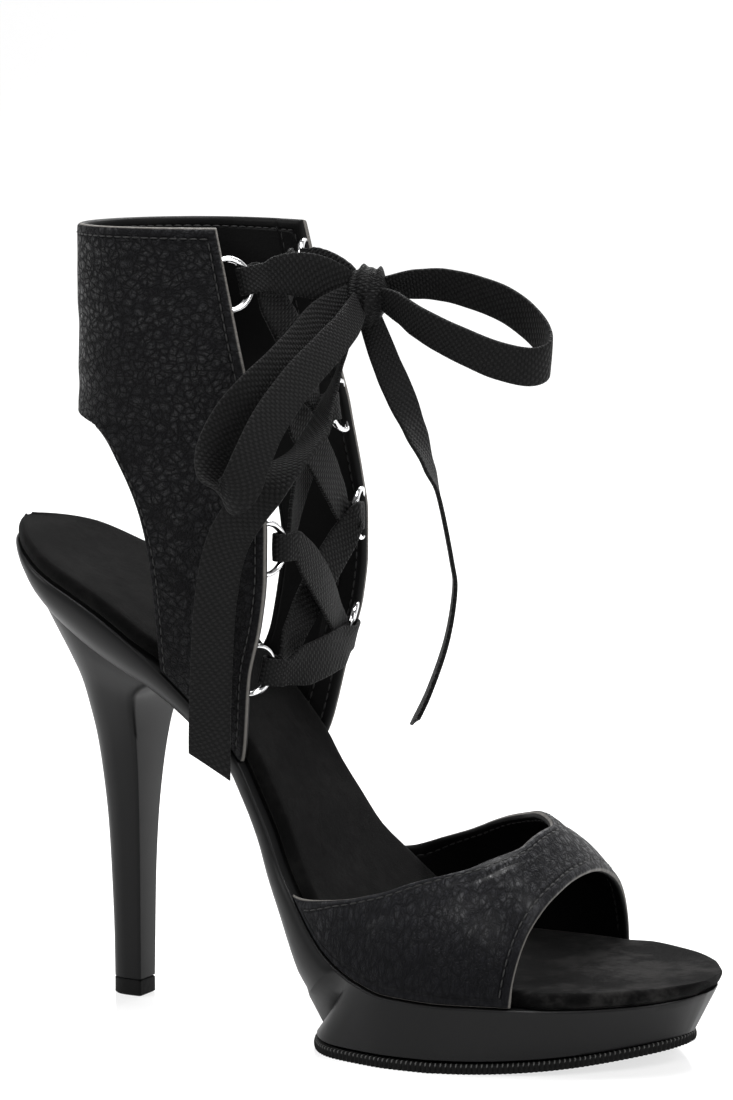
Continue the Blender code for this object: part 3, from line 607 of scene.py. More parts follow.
# The toe strap
# One wide band of pebbled leather with turned and stitched edges, lasted over the toes and let in
# between the footbed and the platform's rim. Its grain is stretched open over the top of the foot, where its colour is
# also painted lighter as painted light.
STRAP_WALL, STRAP_HEIGHT = 0.0022, 0.0606
SHOULDER = {"lateral": 0.90, "medial": 1.30}
TOE_FORM = table(
    "reach height",
    (0.46, 1.20),
    (0.62, 1.12),
    (0.72, 1.03),
    (0.775, 0.945),
    (0.827, 0.76),
    (0.86, 0.64),
)
STRAP_CUT = table(
    "angle rear front",
    (0, 0.491, 0.803),
    (16, 0.542, 0.808),
    (34, 0.650, 0.814),
    (50, 0.735, 0.820),
    (70, 0.772, 0.825),
    (90, 0.774, 0.826),
    (120, 0.708, 0.820),
    (140, 0.620, 0.812),
    (158, 0.540, 0.804),
    (180, 0.482, 0.798),
)


def strap_skin(angle, along):
    """The outer face: angle runs round the foot from the lateral rim, along is a share of length."""
    side = "lateral" if angle <= 90 else "medial"
    turn = math.radians(angle if angle <= 90 else 180 - angle)
    low = bed_height(along) + GAP
    high = read(TOE_FORM, "reach", "height", along) * STRAP_HEIGHT
    half = half_width(along, side) - GAP
    height = low + (high - low) * math.sin(turn)
    return Vector((along * LENGTH, SIDES[side] * half * max(0.0, math.cos(turn)) ** SHOULDER[side], height))


def strap_along(angle, share):
    return blend(read(STRAP_CUT, "angle", "rear", angle), read(STRAP_CUT, "angle", "front", angle), share)


# Dents and pulls in the strap: where they lie, how far they run, and how deep they are
STRAP_CREASES = table(
    "angle share run spread depth",
    (62, 0.30, 26, 0.05, 0.00025),
    (74, 0.48, 30, 0.06, 0.00022),
    (84, 0.66, 24, 0.06, 0.00020),
    (112, 0.40, 30, 0.07, 0.00022),
    (38, 0.62, 20, 0.07, 0.00020),
    (26, 0.24, 16, 0.06, 0.00018),
)


def dents(creases, first, second, a, b):
    depth = 0.0
    for crease in rows_of(creases):
        run = (a - crease[first]) / crease["run"]
        cross = (b - crease[second] - 0.02 * math.sin(3 * run)) / crease["spread"]
        depth += crease["depth"] * math.exp(-run * run - cross * cross)
    return depth


def strap_point(angle, share, depth):
    along = strap_along(angle, share)
    step = 0.5
    here = strap_skin(angle, along)
    round_foot = strap_skin(min(180, angle + step), along) - strap_skin(max(0, angle - step), along)
    forward = strap_skin(angle, along + 0.002) - strap_skin(angle, along - 0.002)
    outward = round_foot.cross(forward).normalized()
    if outward.dot(Vector((0.0, here.y, 0.02))) < 0:
        outward = -outward
    # The ends of the strap stand upright on the rim
    upright = ease((12 - min(angle, 180 - angle)) / 12)
    outward = outward.lerp(Vector((0.0, -1.0 if angle < 90 else 1.0, 0.0)), upright).normalized()
    length = (strap_skin(angle, strap_along(angle, 1.0)) - strap_skin(angle, strap_along(angle, 0.0))).length
    edge = min(min(share, 1 - share) * length, min(angle, 180 - angle) * 0.0008)
    fold = math.sqrt(max(0.0, 1 - max(0.0, 1 - edge / 0.0011) ** 2))
    inward = STRAP_WALL * (0.5 + (depth - 0.5) * fold)
    if depth == 0:
        pull = dents(STRAP_CREASES, "angle", "share", angle, share)
        pull -= 0.00035 * noise.noise(here * 70.0) + 0.0002 * noise.noise(here * 160.0)
        inward += pull * ease(edge / 0.005)
    return here - outward * inward, edge


TURNED_EDGE = (0.120, 0.114, 0.106, 1.0)


def pebbled_finish(name, colour, gloss, depth, stretch, open_lit_heights, sheen):
    """Pebbled hide: rounded cells of two sizes with creases between them, smoother in some areas and
    below the given heights, and pressed flat beside the stitching. Its colour has painted shade in the creases and
    along the stitch line. Above the given heights it is painted lighter as painted light on the upper part. The turned
    edge is lighter."""
    made, wire, shader = new_finish(name, colour, 0.45, Specular_IOR_Level=0.08, Coat_Roughness=gloss)
    place = wire.node("TexCoord", output=3)
    turned = wire.node("Mapping", {}, {"Vector": place, "Scale": stretch})
    bent = wire.node("TexNoise", {}, {"Vector": turned, "Scale": 210.0, "Detail": 4.0}, output=1)
    mixed = wire.node("VectorMath", {"operation": "SCALE"}, {0: bent, "Scale": 0.0042})
    place = wire.node("VectorMath", {"operation": "ADD"}, {0: turned, 1: mixed})
    big = wire.node("TexVoronoi", {"feature": "SMOOTH_F1"}, {"Vector": place, "Scale": 430.0, "Smoothness": 0.3})
    small = wire.node("TexVoronoi", {"feature": "F1"}, {"Vector": place, "Scale": 1050.0})
    seams = wire.node("TexVoronoi", {"feature": "DISTANCE_TO_EDGE"}, {"Vector": place, "Scale": 430.0})
    cracks = wire.node("TexVoronoi", {"feature": "DISTANCE_TO_EDGE"}, {"Vector": place, "Scale": 1050.0})
    pores = wire.node("TexNoise", {}, {"Vector": place, "Scale": 3400.0, "Detail": 3.0})
    areas = wire.node("TexNoise", {}, {"Vector": turned, "Scale": 24.0, "Detail": 2.0})
    high = wire.node("SeparateXYZ", {}, {"Vector": wire.node("TexCoord", output=3)}, output=2)
    # Above these heights the grain opens, and the colour is painted lighter as painted light on the upper part
    opened_and_top_lit = high.between(*open_lit_heights)
    coarse = areas.between(0.36, 0.60) * opened_and_top_lit
    creased = seams.between(0.0, 0.20)
    cracked = cracks.between(0.0, 0.22)
    edge = wire.node("Attribute", {"attribute_name": "edge"}, output=2)
    inside = edge.between(0.0020, 0.0050)
    stitch = edge.ridge(0.0026, 0.0007)
    paint = 1 - edge.between(0.0001, 0.00045)
    cells = (1 - big) * 0.9 * creased + (1 - small) * 0.25
    height = (cells * (0.15 + opened_and_top_lit * 0.25 + coarse * 0.60) + cracked * 0.25) * (0.25 + inside * 0.75) + pores * 0.06
    relief(shader, height - stitch * 0.8, depth, 1.0)
    tops = (1 - big).between(0.35, 0.95) * creased * cracked
    feed(shader, "Coat Weight", sheen * opened_and_top_lit + tops * (0.06 + opened_and_top_lit * 0.24 + coarse * 0.35) * (0.3 + inside * 0.7))
    feed(shader, "Roughness", gloss + 0.08 + (1 - creased) * 0.25 + pores * 0.10)
    # Painted shade in the creases and cracks between cells and along the stitch line, and painted light lifting the
    # upper part; the random areas are the hide's own colour
    tone_and_painted_light = (creased * cracked * 0.75 + areas * 0.25) * (1 - stitch * 0.7) * (0.35 + opened_and_top_lit * 0.65)
    dark_and_shaded = tuple(0.25 * value for value in colour)
    skin = wire.node("Mix", {"data_type": "RGBA"}, {"Factor": tone_and_painted_light, "A": (*dark_and_shaded, 1), "B": (*colour, 1)}, output=2)
    skin = wire.node("Mix", {"data_type": "RGBA"}, {"Factor": paint, "A": skin, "B": TURNED_EDGE}, output=2)
    feed(shader, "Base Color", skin)
    return made


# The strap's colour is tinted blue as a painted sheen, standing in for the bluish reflection on its top
leather = pebbled_finish("pebbled_leather", (0.0075, 0.0077, 0.0105), 0.34, 0.0008, (1.25, 1.0, 0.60), (0.024, 0.048), 0.16)
lining, wire, shader = new_finish("smooth_lining", (0.0022, 0.0022, 0.0023), 0.55, Specular_IOR_Level=0.10)
place = wire.node("TexCoord", output=3)
skin = wire.node("TexNoise", {}, {"Vector": place, "Scale": 1500.0, "Detail": 4.0})
folds = wire.node("TexNoise", {}, {"Vector": place, "Scale": 90.0, "Detail": 2.0})
edge = wire.node("Attribute", {"attribute_name": "edge"}, output=2)
feed(shader, "Roughness", 0.45 + skin * 0.2)
relief(shader, skin * 0.3 + folds * 0.7 - edge.ridge(0.0026, 0.0006) * 0.9, 0.0004, 0.5)


def leather_wall(name, columns, rows, place):
    """Two grids, one for the grain side and one for the lining, which meet along their edges. place
    gives a point and its distance from the nearest edge."""
    mesh = bmesh.new()
    layer = mesh.verts.layers.float.new("edge")
    for depth in (0, 1):
        made = bmesh.ops.create_grid(mesh, x_segments=len(columns) - 1, y_segments=len(rows) - 1)
        for index, corner in enumerate(made["verts"]):
            point, edge = place(columns[index % len(columns)], rows[index // len(columns)], depth)
            corner.co = point
            corner[layer] = edge
        for face in {face for corner in made["verts"] for face in corner.link_faces}:
            face.material_index = depth
    bmesh.ops.remove_doubles(mesh, verts=mesh.verts[:], dist=1e-5)
    return mesh


def close_steps(count, length):
    """Shares from 0 to 1 that crowd at both ends, where the edges are turned."""
    ends = [0.0, 0.00012, 0.00035, 0.0007, 0.0012, 0.0018, 0.0026]
    near = [step / length for step in ends]
    inner = [blend(near[-1], 1 - near[-1], k / count) for k in range(1, count)]
    return near + inner + [1 - share for share in reversed(near)]


strap_angles = [0.0, 0.2, 0.5, 0.9, 1.4, 2.0]
strap_angles += [blend(2.6, 177.4, k / 146) for k in range(147)] + [180 - a for a in reversed(strap_angles)]
strap_mesh = leather_wall("strap", strap_angles, close_steps(54, 0.045), strap_point)
strap = piece("toe_band", strap_mesh, [leather, lining], smooth=60)
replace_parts(strap, "toe_strap")


SEAM = 0.0026


def stitches(mesh, line, outs, pitch, length, radius):
    """Thread seen as short capsules that dip at both ends, along a line of a seam."""
    spots = walk(line, pitch, closed=False)
    for index in range(len(spots) - 1):
        run = (spots[index + 1] - spots[index]).normalized()
        out = outs(spots[index])
        turn = Matrix((run, out.cross(run).normalized(), out)).transposed().to_4x4()
        made = bmesh.ops.create_uvsphere(mesh, u_segments=6, v_segments=5, radius=radius)["verts"]
        for corner in made:
            co = corner.co
            corner.co = Vector((co.z / radius * length / 2, co.x, co.y * 0.8))
        middle = spots[index].lerp(spots[index + 1], 0.5)
        bmesh.ops.transform(mesh, matrix=Matrix.Translation(middle) @ turn, verts=made)


thread, wire, shader = new_finish("sewing_thread", (0.014, 0.014, 0.014), 0.55, Sheen_Weight=0.05, Specular_IOR_Level=0.2)
place = wire.node("TexCoord", output=3)
ply = wire.node("TexNoise", {}, {"Vector": place, "Scale": 5200.0, "Detail": 2.0})
relief(shader, ply, 0.0001, 0.6)


def nearest_out(points, outs):
    """Gives the outward direction at the point of a line that lies nearest."""

    def find(spot):
        return min(zip(points, outs), key=lambda pair: (pair[0] - spot).length_squared)[1]

    return find


seam_mesh = bmesh.new()
for end, depth in ((0, 0), (1, 0), (0, 1), (1, 1)):
    line, outs = [], []
    for step in range(4, 177, 2):
        length = (strap_skin(step, strap_along(step, 1)) - strap_skin(step, strap_along(step, 0))).length
        share = SEAM / length if end == 0 else 1 - SEAM / length
        face, deep = (strap_point(step, share, side)[0] for side in (depth, 1 - depth))
        outs.append((face - deep).normalized())
        line.append(face + outs[-1] * 0.00002)
    stitches(seam_mesh, line, nearest_out(line, outs), 0.0026, 0.0021, 0.00024)
piece("strap_stitching", seam_mesh, [thread], smooth=80)

# The ankle cuff
# A tall band of the same pebbled leather, lined with smooth leather, round the back of the ankle,
# with a flap down each side to the sole. A facing backs each front edge and holds the D-rings.
CUFF_WALL, CUFF_HEIGHT, CUFF_DEPTH = 0.0024, 0.1375, 0.0505
CUFF_BACK, CUFF_SIDE, CUFF_HALF = 0.025, 0.051, 0.030
FACING, FACING_THICK, RIM_GAP = 0.010, 0.0010, 0.00045
CUFF = table(
    "row rear_height lateral medial front_height reach side_half front_half",
    (0, 1.000, 0.0, 0.0, 1.000, 0.997, 1.0, 0.81),
    (1, 0.917, 0.0, 0.0, 0.895, 1.065, 1.0, 0.83),
    (2, 0.823, 0.0, 0.0, 0.779, 1.143, 1.0, 0.86),
    (3, 0.729, 0.0, 0.0, 0.655, 1.232, 1.0, 0.89),
    (4, 0.664, 0.0, 0.0, 0.620, 1.247, 1.0, 0.902),
    (5, 0.646, 0.578, 0.700, 0.510, 1.295, 1.0, 0.94),
    (6, 0.612, 0.806, 0.980, 0.438, 1.317, 1.0, 0.96),
    (7, 0.556, 0.949, 1.180, 0.358, 1.315, 1.0, 0.965),
    (8, 0.459, 1.107, 1.320, 0.271, 1.287, 1.0, 0.965),
    (9, 0.349, 1.203, 1.395, 0.184, 1.224, 0.985, 0.945),
    (10, 0.255, 1.242, 1.380, 0.097, 1.166, 0.955, 0.88),
    (11, 0.165, 1.262, 1.290, 0.006, 1.105, 0.92, 0.81),
)
CUFF_FOOT = bed_height((CUFF_BACK + CUFF["reach"][-1] * CUFF_DEPTH) / LENGTH)


def cuff_skin(side, share, row):
    """The cuff's outer face: share runs from the rear, 0, to the front edge, 1."""
    front = CUFF_BACK + read(CUFF, "row", "reach", row) * CUFF_DEPTH
    half = read(CUFF, "row", "side_half", row) * CUFF_HALF
    front_half = read(CUFF, "row", "front_half", row) * CUFF_HALF
    girth = blend(read(CUFF, "row", side, row), 2.0, share)
    if girth < 1:
        place = CUFF_SIDE - (CUFF_SIDE - CUFF_BACK) * math.cos(girth * math.pi / 2)
        y = half * math.sin(girth * math.pi / 2)
    else:
        place = blend(CUFF_SIDE, front, girth - 1)
        y = blend(half, front_half, (girth - 1) ** 2)
    rear, front_height = read(CUFF, "row", "rear_height", row), read(CUFF, "row", "front_height", row)
    height = CUFF_FOOT + CUFF_HEIGHT * blend(rear, front_height, share)
    down = max(0.0, row - 9) / 2
    if down > 0:
        along = place / LENGTH
        y = blend(y, half_width(along, side) - GAP, down**2)
        height = blend(height, bed_height(along) + RIM_GAP / math.cos(bed_lean(along)), down**2)
    return Vector((place, SIDES[side] * y, height))


def cuff_out(side, share, row):
    """The level direction square to the outer face."""
    if share == 0 and row <= 4:
        return Vector((-1.0, 0.0, 0.0))
    run = cuff_skin(side, min(1.0, share + 0.01), row) - cuff_skin(side, max(0.0, share - 0.01), row)
    return Vector((-run.y, run.x, 0.0)).normalized() * SIDES[side]


CUFF_CREASES = table(
    "share row run spread depth",
    (0.30, 3.3, 0.22, 0.35, 0.00045),
    (0.52, 4.2, 0.20, 0.35, 0.00040),
    (0.22, 2.1, 0.16, 0.40, 0.00030),
    (0.62, 6.4, 0.18, 0.35, 0.00035),
    (0.45, 8.3, 0.22, 0.40, 0.00030),
    (0.40, 0.8, 0.18, 0.35, 0.00022),
)


def cuff_span(side, row):
    return (cuff_skin(side, 1.0, row) - cuff_skin(side, 0.8, row)).length / 0.2


def cuff_point(side, share, row, depth):
    here = cuff_skin(side, share, row)
    span = cuff_span(side, row)
    to_front = (1 - share) * span
    to_top = row * 0.0128
    if row > 4:
        to_rear = share * span
    else:
        to_rear = math.hypot((4 - row) * 0.0125, share * span * 1.2)
    to_foot = (11 - row) * 0.012
    edge = min(to_front, to_top, to_rear, to_foot)
    fold = math.sqrt(max(0.0, 1 - max(0.0, 1 - edge / 0.0011) ** 2))
    wall = CUFF_WALL + FACING_THICK * ease((FACING + 0.0006 - to_front) / 0.0012)
    inward = wall * (0.5 + (depth - 0.5) * fold)
    if depth == 0:
        pull = dents(CUFF_CREASES, "share", "row", share, row)
        pull -= 0.00045 * noise.noise(here * 45.0) + 0.0002 * noise.noise(here * 130.0)
        inward += pull * ease(edge / 0.005)
    return here - cuff_out(side, share, row) * inward, edge


def cuff_shares():
    rear = [0.0, 0.0025, 0.006, 0.012, 0.02, 0.03]
    middle = [blend(0.045, 0.80, k / 46) for k in range(47)]
    return rear + middle + [2 + step for step in (0.0113, 0.0107, 0.0103, 0.0097, 0.0093, 0.0080)] + [
        2 + step for step in (0.0065, 0.0050, 0.0038, 0.0028, 0.0021, 0.0016, 0.0011, 0.0007, 0.00035, 0.00012, 0.0)
    ]


def cuff_place(side, share, row, depth):
    if share >= 2:
        share = 1 - (share - 2) / cuff_span(side, row)
    return cuff_point(side, share, row, depth)


cuff_rows = [0.0, 0.01, 0.028, 0.055, 0.09, 0.14, 0.2]
cuff_rows += finer([0.28 + 0.0930 * k for k in range(41)], 1)[1:]
cuff_rows += finer([4.02, 4.08, 4.16, 4.25, 4.36, 4.5, 4.64, 4.8, 5.0], 1)
cuff_rows += finer([5.0 + 0.095 * k for k in range(64)], 1)[1:]
cuff_rows = sorted(row for row in cuff_rows if row < 11) + [11.0]
cuff_mesh = bmesh.new()
edge_layer = cuff_mesh.verts.layers.float.new("edge")
shares = cuff_shares()
for side in SIDES:
    for depth in (0, 1):
        made = bmesh.ops.create_grid(cuff_mesh, x_segments=len(shares) - 1, y_segments=len(cuff_rows) - 1)
        for index, corner in enumerate(made["verts"]):
            corner.co, corner[edge_layer] = cuff_place(
                side, shares[index % len(shares)], cuff_rows[index // len(shares)], depth
            )
        for face in {face for corner in made["verts"] for face in corner.link_faces}:
            face.material_index = depth
bmesh.ops.remove_doubles(cuff_mesh, verts=cuff_mesh.verts[:], dist=1e-5)
cuff_leather = pebbled_finish("cuff_leather", (0.0052, 0.0053, 0.0066), 0.36, 0.0008, (0.9, 0.9, 1.25), (0.085, 0.150), 0.02)
cuff = piece("ankle_band", cuff_mesh, [cuff_leather, lining], smooth=60)
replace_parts(cuff, "ankle_cuff")

seam_mesh = bmesh.new()
for side in SIDES:
    seams = [(0, [(1 - SEAM / cuff_span(side, row / 8), row / 8) for row in range(2, 87)])]
    seams.append((0, [(SEAM / cuff_span(side, row / 8), row / 8) for row in range(40, 87)]))
    seams.append((0, [(share / 60, SEAM / 0.0128) for share in range(0, 59)]))
    seams.append((1, [(1 - SEAM / cuff_span(side, row / 8), row / 8) for row in range(2, 87)]))
    seams.append((1, [(1 - (FACING - 0.0016) / cuff_span(side, row / 8), row / 8) for row in range(2, 87)]))
    seams.append((1, [(share / 60, SEAM / 0.0128) for share in range(0, 59)]))
    for depth, seam in seams:
        line, outs = [], []
        for share, row in seam:
            face, _ = cuff_point(side, share, row, depth)
            outs.append(cuff_out(side, share, row) * (1 - 2 * depth))
            line.append(face + outs[-1] * 0.00002)
        stitches(seam_mesh, line, nearest_out(line, outs), 0.0026, 0.0021, 0.00024)
piece("cuff_stitching", seam_mesh, [thread], smooth=80)

# The D-rings
# Bright chromed wire, bent to a D and closed at its straight bar, which the facing holds. The lace
# pulls each ring inward from its panel.
RING_HEIGHT, RING_WIRE, RING_REACH, RING_HOLD, RING_SINK = 0.0145, 0.0014, 0.0085, 0.0010, 0.0005
RINGS = table(
    "number lateral lateral_turn medial medial_turn",
    (1, 0.895, 40, 0.915, 55),
    (2, 0.666, 62, 0.647, 82),
    (3, 0.411, 74, 0.439, 74),
    (4, 0.180, 64, 0.217, 62),
)


def ring_frame(side, height, turn):
    low, high = 0.0, 11.0
    for _ in range(40):
        row = (low + high) / 2
        if read(CUFF, "row", "front_height", row) > height:
            low = row
        else:
            high = row
    step = 0.01
    run = cuff_skin(side, 1.0, row) - cuff_skin(side, 1 - step, row)
    outward = (Vector((-run.y, run.x, 0.0)) * SIDES[side]).normalized()
    rise = cuff_skin(side, 1.0, max(0, row - 0.2)) - cuff_skin(side, 1.0, min(11, row + 0.2))
    up = (rise - rise.dot(outward) * outward).normalized()
    forward = outward.cross(up) * SIDES[side]
    edge = cuff_skin(side, 1.0, row) - outward * (CUFF_WALL + FACING_THICK) / 2
    turn = math.radians(turn)
    return {
        "bar": edge - RING_HOLD * forward - RING_SINK * outward,
        "ahead": forward * math.cos(turn) - outward * math.sin(turn),
        "across": forward * math.sin(turn) + outward * math.cos(turn),
        "up": up,
    }


chrome, wire, shader = new_finish("chrome", (0.86, 0.86, 0.87), 0.06, Metallic=1.0)
place = wire.node("TexCoord", output=3)
rub = wire.node("TexNoise", {}, {"Vector": place, "Scale": 900.0, "Detail": 5.0})
feed(shader, "Roughness", 0.04 + rub.between(0.52, 0.75) * 0.14)

ring_frames = {}
for ring in rows_of(RINGS):
    for side in SIDES:
        hold = ring_frame(side, ring[side], ring[side + "_turn"])
        ring_frames[side, ring["number"]] = hold
        half = (RING_HEIGHT - RING_WIRE) / 2
        centre = RING_REACH - RING_WIRE / 2 - half
        path = [(0.0, height * half) for height in (-0.85, 0.0, 0.85)]
        path += [(0.0006 * (1 - math.cos(a)), half * 0.85 + 0.15 * half * math.sin(a)) for a in (0.6, 1.2)]
        path += [
            (centre + half * math.cos(a), half * math.sin(a))
            for a in (math.pi / 2 - math.pi * step / 22 for step in range(23))
        ]
        path += [(0.0006 * (1 - math.cos(a)), -half * 0.85 - 0.15 * half * math.sin(a)) for a in (1.2, 0.6)]
        data = bpy.data.curves.new(f"ring_{side}_{ring['number']}", "CURVE")
        data.dimensions = "3D"
        data.bevel_depth = RING_WIRE / 2
        data.bevel_resolution = 5
        line = data.splines.new("POLY")
        line.points.add(len(path) - 1)
        for point, (ahead, above) in zip(line.points, path):
            point.co = (*(hold["bar"] + ahead * hold["ahead"] + above * hold["up"] + stand), 1.0)
            point.radius = blend(1.0, 1.2, ease(ahead / 0.004))
        line.use_cyclic_u = True
        line.use_smooth = True
        data.materials.append(chrome)
        wire_ring = bpy.data.objects.new(f"ring_{side}_{ring['number']}", data)
        bpy.context.scene.collection.objects.link(wire_ring)
        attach(wire_ring, "root")
        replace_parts(wire_ring, f"d_ring_{side}_{ring['number']}")

# The lace
# A flat black ribbon, woven with fine ribs across it and a firm selvedge. It starts as one bar
# through the lowest rings, crosses itself three times, and goes from the top rings to the knot.
LACE_WIDTH, LACE_IN_RING, LACE_THICK, CUT_LENGTH = 0.0110, 0.0072, 0.0010, 0.012
KNOT = Vector((0.100, 0.010, 0.190))
UP = Vector((0.0, 0.0, 1.0))
ROUND_RING = table(
    "ahead across",
    (2.6, 1.1),
    (1.1, 1.3),
    (-0.4, 1.35),
    (-1.6, 1.0),
    (-2.2, 0.0),
    (-1.6, -1.0),
    (-0.4, -1.35),
    (1.1, -1.3),
    (2.6, -1.1),
)

weave, wire, shader = new_finish(
    "ribbed_ribbon", (0.005, 0.005, 0.005), 0.62, Sheen_Weight=0.02, Sheen_Roughness=0.35, Specular_IOR_Level=0.10
)
along = wire.node("Attribute", {"attribute_name": "along"}, output=2)
across = wire.node("Attribute", {"attribute_name": "across"}, output=2)
rib = wire.math("SINE", along * (2 * math.pi / 0.0017))
warp = wire.math("SINE", across * (2 * math.pi / 0.0019) + along * 900.0)
place = wire.node("TexCoord", output=3)
fuzz = wire.node("TexNoise", {}, {"Vector": place, "Scale": 5200.0, "Detail": 3.0})
floats = (rib * warp).between(-0.55, 0.9)
cords = wire.math("ABSOLUTE", wire.math("SINE", along * (math.pi / 0.00085)))
height = floats * 0.75 + cords * 0.35 + fuzz * 0.25
relief(shader, height, 0.00035, 1.0)
lit = floats * 0.55 + cords * 0.15 + fuzz * 0.30
shade = wire.node("Mix", {"data_type": "RGBA"}, {"Factor": lit, "A": (0.0010, 0.0010, 0.0010, 1), "B": (0.0120, 0.0120, 0.0122, 1)}, output=2)
feed(shader, "Base Color", shade)
feed(shader, "Roughness", 0.50 + fuzz * 0.25)


def eased_run(points, widths, ups, parts=8):
    """A smooth run through a route's points, with its widths and the way its width lies."""
    made = []
    last = len(points) - 1
    for i in range(last):
        a, b, c, d = (points[min(max(k, 0), last)] for k in (i - 1, i, i + 1, i + 2))
        for k in range(parts + (i == last - 1)):
            t = k / parts
            bent = b * 2 + (c - a) * t + (a * 2 - b * 5 + c * 4 - d) * t * t + (b * 3 - a - c * 3 + d) * t**3
            made.append((bent / 2, blend(widths[i], widths[i + 1], ease(t)), ups[i].lerp(ups[i + 1], ease(t))))
    return made


def ribbon(run, slant=0.0):
    """A woven ribbon through a smooth run. Its edges are rolled, it cups a little, and slant is the
    slope of its cut end."""
    sections, reached = [], [0.0]
    for (a, _, _), (b, _, _) in zip(run, run[1:]):
        reached.append(reached[-1] + (b - a).length)
    for i, (point, width, up) in enumerate(run):
        ahead = (run[min(i + 1, len(run) - 1)][0] - run[max(i - 1, 0)][0]).normalized()
        side = (up - up.dot(ahead) * ahead).normalized()
        face = ahead.cross(side).normalized()
        pull = slant * max(0.0, 1 - (reached[-1] - reached[i]) / CUT_LENGTH)
        cup = 0.00025 * math.sin(reached[-1] * 210.0)
        row = []
        for share, thick in RIBBON_SECTION:
            lift = LACE_THICK / 2 * thick + cup * (1 - share * share)
            row.append(point + (side + ahead * pull) * share * width / 2 + face * lift)
        sections.append(row)
    marks = (
        ("along", reached, [0.0] * len(RIBBON_SECTION)),
        ("across", [0.0] * len(sections), [share * LACE_WIDTH / 2 for share, _ in RIBBON_SECTION]),
    )
    return grow(sections, marks=marks)


RIBBON_SECTION = [(share, 1.0) for share in (-0.93, -0.6, -0.2, 0.2, 0.6, 0.93)]
RIBBON_SECTION += [(0.985, 0.75), (1.0, 0.0), (0.985, -0.75)]
RIBBON_SECTION += [(share, -1.0) for share in (0.93, 0.6, 0.2, -0.2, -0.6, -0.93)]
RIBBON_SECTION += [(-0.985, -0.75), (-1.0, 0.0), (-0.985, 0.75)]


def round_ring(side, number):
    hold = ring_frames[side, number]
    bow = hold["bar"] + (RING_REACH - RING_WIRE / 2) * hold["ahead"]
    points = [bow + RING_WIRE * (way["ahead"] * hold["ahead"] + way["across"] * hold["across"]) for way in rows_of(ROUND_RING)]
    return points if number > 1 else points[::-1]


def half_lace(first):
    other = {"lateral": "medial", "medial": "lateral"}
    side = first
    lift = 1 if first == "lateral" else -1
    points, widths, ups = [], [], []
    for number in (4, 3, 2, 1):
        loop = round_ring(side, number)
        if points:
            start, end = points[-1], loop[0]
            for share in (0.2, 0.4, 0.6, 0.8):
                bump = Vector((1, 0, 0)) * lift * 0.0016 * math.sin(math.pi * share)
                points.append(start.lerp(end, share) + bump)
                widths.append(blend(LACE_IN_RING, LACE_WIDTH, math.sin(math.pi * share) ** 0.6))
                ups.append(UP)
        points += loop
        ups += [ring_frames[side, number]["up"]] * len(loop)
        widths += [LACE_IN_RING] * len(loop)
        side = other[side]
        lift = -lift
    start = points[-1]
    for share in (0.12, 0.25, 0.4, 0.55, 0.7, 0.85, 1.0):
        arch = UP * (0.0020 if side == "medial" else 0.0) * math.sin(math.pi * share)
        points.append(start.lerp(KNOT + (start - KNOT).normalized() * 0.0050, share) + arch)
        widths.append(blend(LACE_IN_RING, 1.05 * LACE_WIDTH, math.sin(math.pi * min(1.0, share / 0.85 * 0.8)) ** 0.5))
        ups.append(UP)
    return points, widths, ups


lateral_run, medial_run = half_lace("lateral"), half_lace("medial")
bar = []
for share in (0.25, 0.5, 0.75):
    bulge = Vector((0.002 * math.sin(math.pi * share), 0.0, 0.0))
    bar.append(lateral_run[0][0].lerp(medial_run[0][0], share) + bulge)
lace_points = lateral_run[0][::-1] + bar + medial_run[0]
lace_widths = lateral_run[1][::-1] + [LACE_WIDTH] * 3 + medial_run[1]
lace_ups = lateral_run[2][::-1] + [UP] * 3 + medial_run[2]
lacing = piece("laced_ribbon", ribbon(eased_run(lace_points, lace_widths, lace_ups)), [weave], smooth=60)
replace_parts(lacing, "lace_crossings")

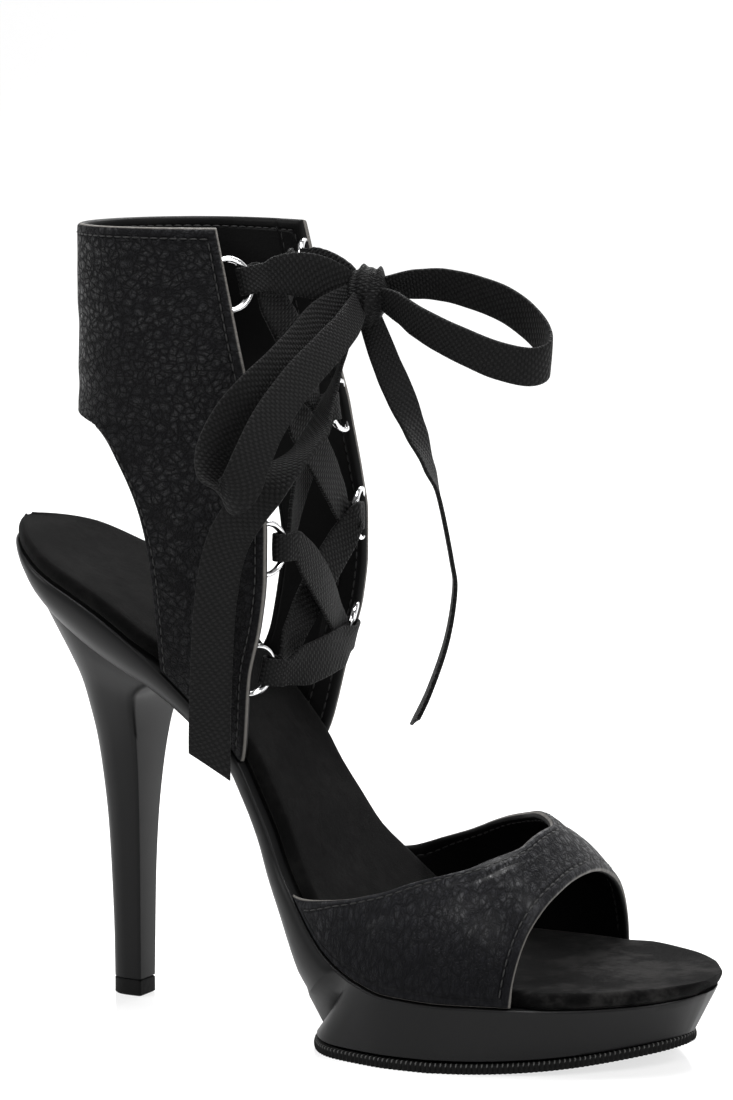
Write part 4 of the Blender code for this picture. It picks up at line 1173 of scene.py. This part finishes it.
# The bow
# The same ribbon, tied once over: a knot wrapped by one turn of the ribbon, a loop to each side,
# and two ends that hang down, cut off slanting. The inner end turns edge-on as it hangs.
BOW = {
    "bow_loop_medial": (
        ((0.25, -0.35, 1.0), (0.25, -0.35, 1.0)),
        (7.5, 2.5, 2.0), (13, 4.5, 2.2), (20, 6.5, 2.0), (28, 8.0, 0.2), (36, 8.8, -2.6),
        (43, 8.4, -6.8), (49, 5.6, -11.5), (52, 1.0, -15.5), (49, -3.2, -17.2), (41, -6.0, -15.6),
        (33, -7.4, -12.6), (25, -7.6, -9.4), (17.5, -6.2, -6.2), (11.5, -3.6, -3.4), (7.8, -1.6, -2.0),
    ),
    "bow_loop_lateral": (
        ((-0.4, -0.5, 0.8), (-0.4, -0.5, 0.8)),
        (-3.4, -8.4, -1.0), (-4.2, -17.0, -5.5), (-4.6, -25.0, -10.5), (-5.6, -35.0, -16.5),
        (-9.0, -43.5, -23.0), (-13.2, -47.5, -30.0), (-15.8, -50.5, -38.0), (-15.0, -52.0, -45.0),
        (-11.5, -52.8, -48.5), (-7.6, -52.6, -46.0), (-5.0, -51.0, -39.0), (-2.6, -46.5, -30.0),
        (0.4, -37.5, -20.5), (2.6, -26.0, -13.0), (3.0, -15.5, -7.5), (1.6, -8.6, -4.0),
    ),
    "lace_end_medial": (
        ((0.9, 0.4, 0.0), (-0.5, 0.9, 0.0)),
        (1.6, -1.0, -7.9), (5.8, 0.0, -17.3), (9.5, 1.0, -26.0), (13.5, 2.0, -35.3), (17.2, 2.6, -44.5),
        (20.3, 3.0, -53.3), (23.8, 3.0, -68.7), (24.7, 3.0, -76.4), (22.4, 3.0, -89.7),
        (18.0, 2.0, -103.0), (13.6, 2.0, -111.8),
    ),
    "lace_end_lateral": (
        ((0.3, -0.3, 0.9), (0.95, 0.3, 0.0)),
        (-1.6, -2.8, -7.4), (-3.0, -7.5, -18.0), (-2.6, -16.5, -27.5), (-0.6, -28.5, -36.0),
        (-4.0, -39.6, -44.0), (-10.5, -43.2, -52.5), (-16.0, -44.6, -62.0), (-18.8, -45.4, -76.0),
        (-20.4, -44.8, -92.0), (-21.6, -43.8, -107.0), (-22.3, -42.8, -119.5),
    ),
}
# The knot's half sizes: to its ends, up and down, and front to back
KNOT_REACH, KNOT_RISE, KNOT_FRONT = 0.0074, 0.0082, 0.0062
KNOT_FORM = table(
    "reach size",
    (0.0, 1.0),
    (0.40, 0.95),
    (0.58, 0.80),
    (0.70, 0.52),
    (0.82, 0.38),
    (0.96, 0.32),
    (1.0, 0.12),
)
knot_way = Vector((0.87, 0.46, 0.05)).normalized()
knot_front = knot_way.cross(UP)
knot_mesh = bmesh.new()
for mark in ("along", "across"):
    knot_mesh.verts.layers.float.new(mark)
bmesh.ops.create_uvsphere(knot_mesh, u_segments=96, v_segments=56, radius=1.0)
for corner in knot_mesh.verts:
    turn = math.atan2(corner.co.y, corner.co.x)
    reach = 1 - 2 * math.acos(max(-1.0, min(1.0, corner.co.z))) / math.pi
    pleat = 1 + 0.07 * math.cos(9 * reach + 1.2 * math.sin(turn)) + 0.035 * math.cos(19 * reach - 2 * turn)
    size = read(KNOT_FORM, "reach", "size", abs(reach)) * pleat
    corner[knot_mesh.verts.layers.float["along"]] = turn * KNOT_RISE
    corner[knot_mesh.verts.layers.float["across"]] = reach * KNOT_REACH
    corner.co = KNOT - UP * 0.0015 + knot_way * KNOT_REACH * (reach + 0.10 * math.sin(turn) * (1 - reach * reach))
    corner.co += size * (UP * KNOT_RISE * math.sin(turn) + knot_front * KNOT_FRONT * math.cos(turn))
knot = piece("tied_knot", knot_mesh, [weave], smooth=70)
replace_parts(knot, "lace_knot")

for name, (ways, *route) in BOW.items():
    line = [KNOT + Vector(point) / 1000 for point in route]
    loop = "loop" in name
    for end in (0, -1) if loop else (0,):
        line[end] = KNOT + Vector(route[end]).normalized() * 0.0050
    count = len(line) - 1
    first, last = Vector(ways[0]), Vector(ways[1])
    ups = [first.lerp(last, min(1.0, 2 * k / count)) for k in range(count + 1)]
    if loop:
        widths = [LACE_WIDTH * blend(0.55, 1, math.sin(math.pi * k / count) ** 0.5) for k in range(count + 1)]
    else:
        widths = [LACE_WIDTH * blend(0.55, 1, min(1, 3 * k / count)) for k in range(count + 1)]
    run = eased_run(line, widths, ups)
    made = piece("woven_" + name, ribbon(run, 0.0 if loop else 0.62), [weave], smooth=60)
    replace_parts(made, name)
    path = [point + stand for point, _, _ in run]
    length = sum((b - a).length for a, b in zip(path, path[1:]))
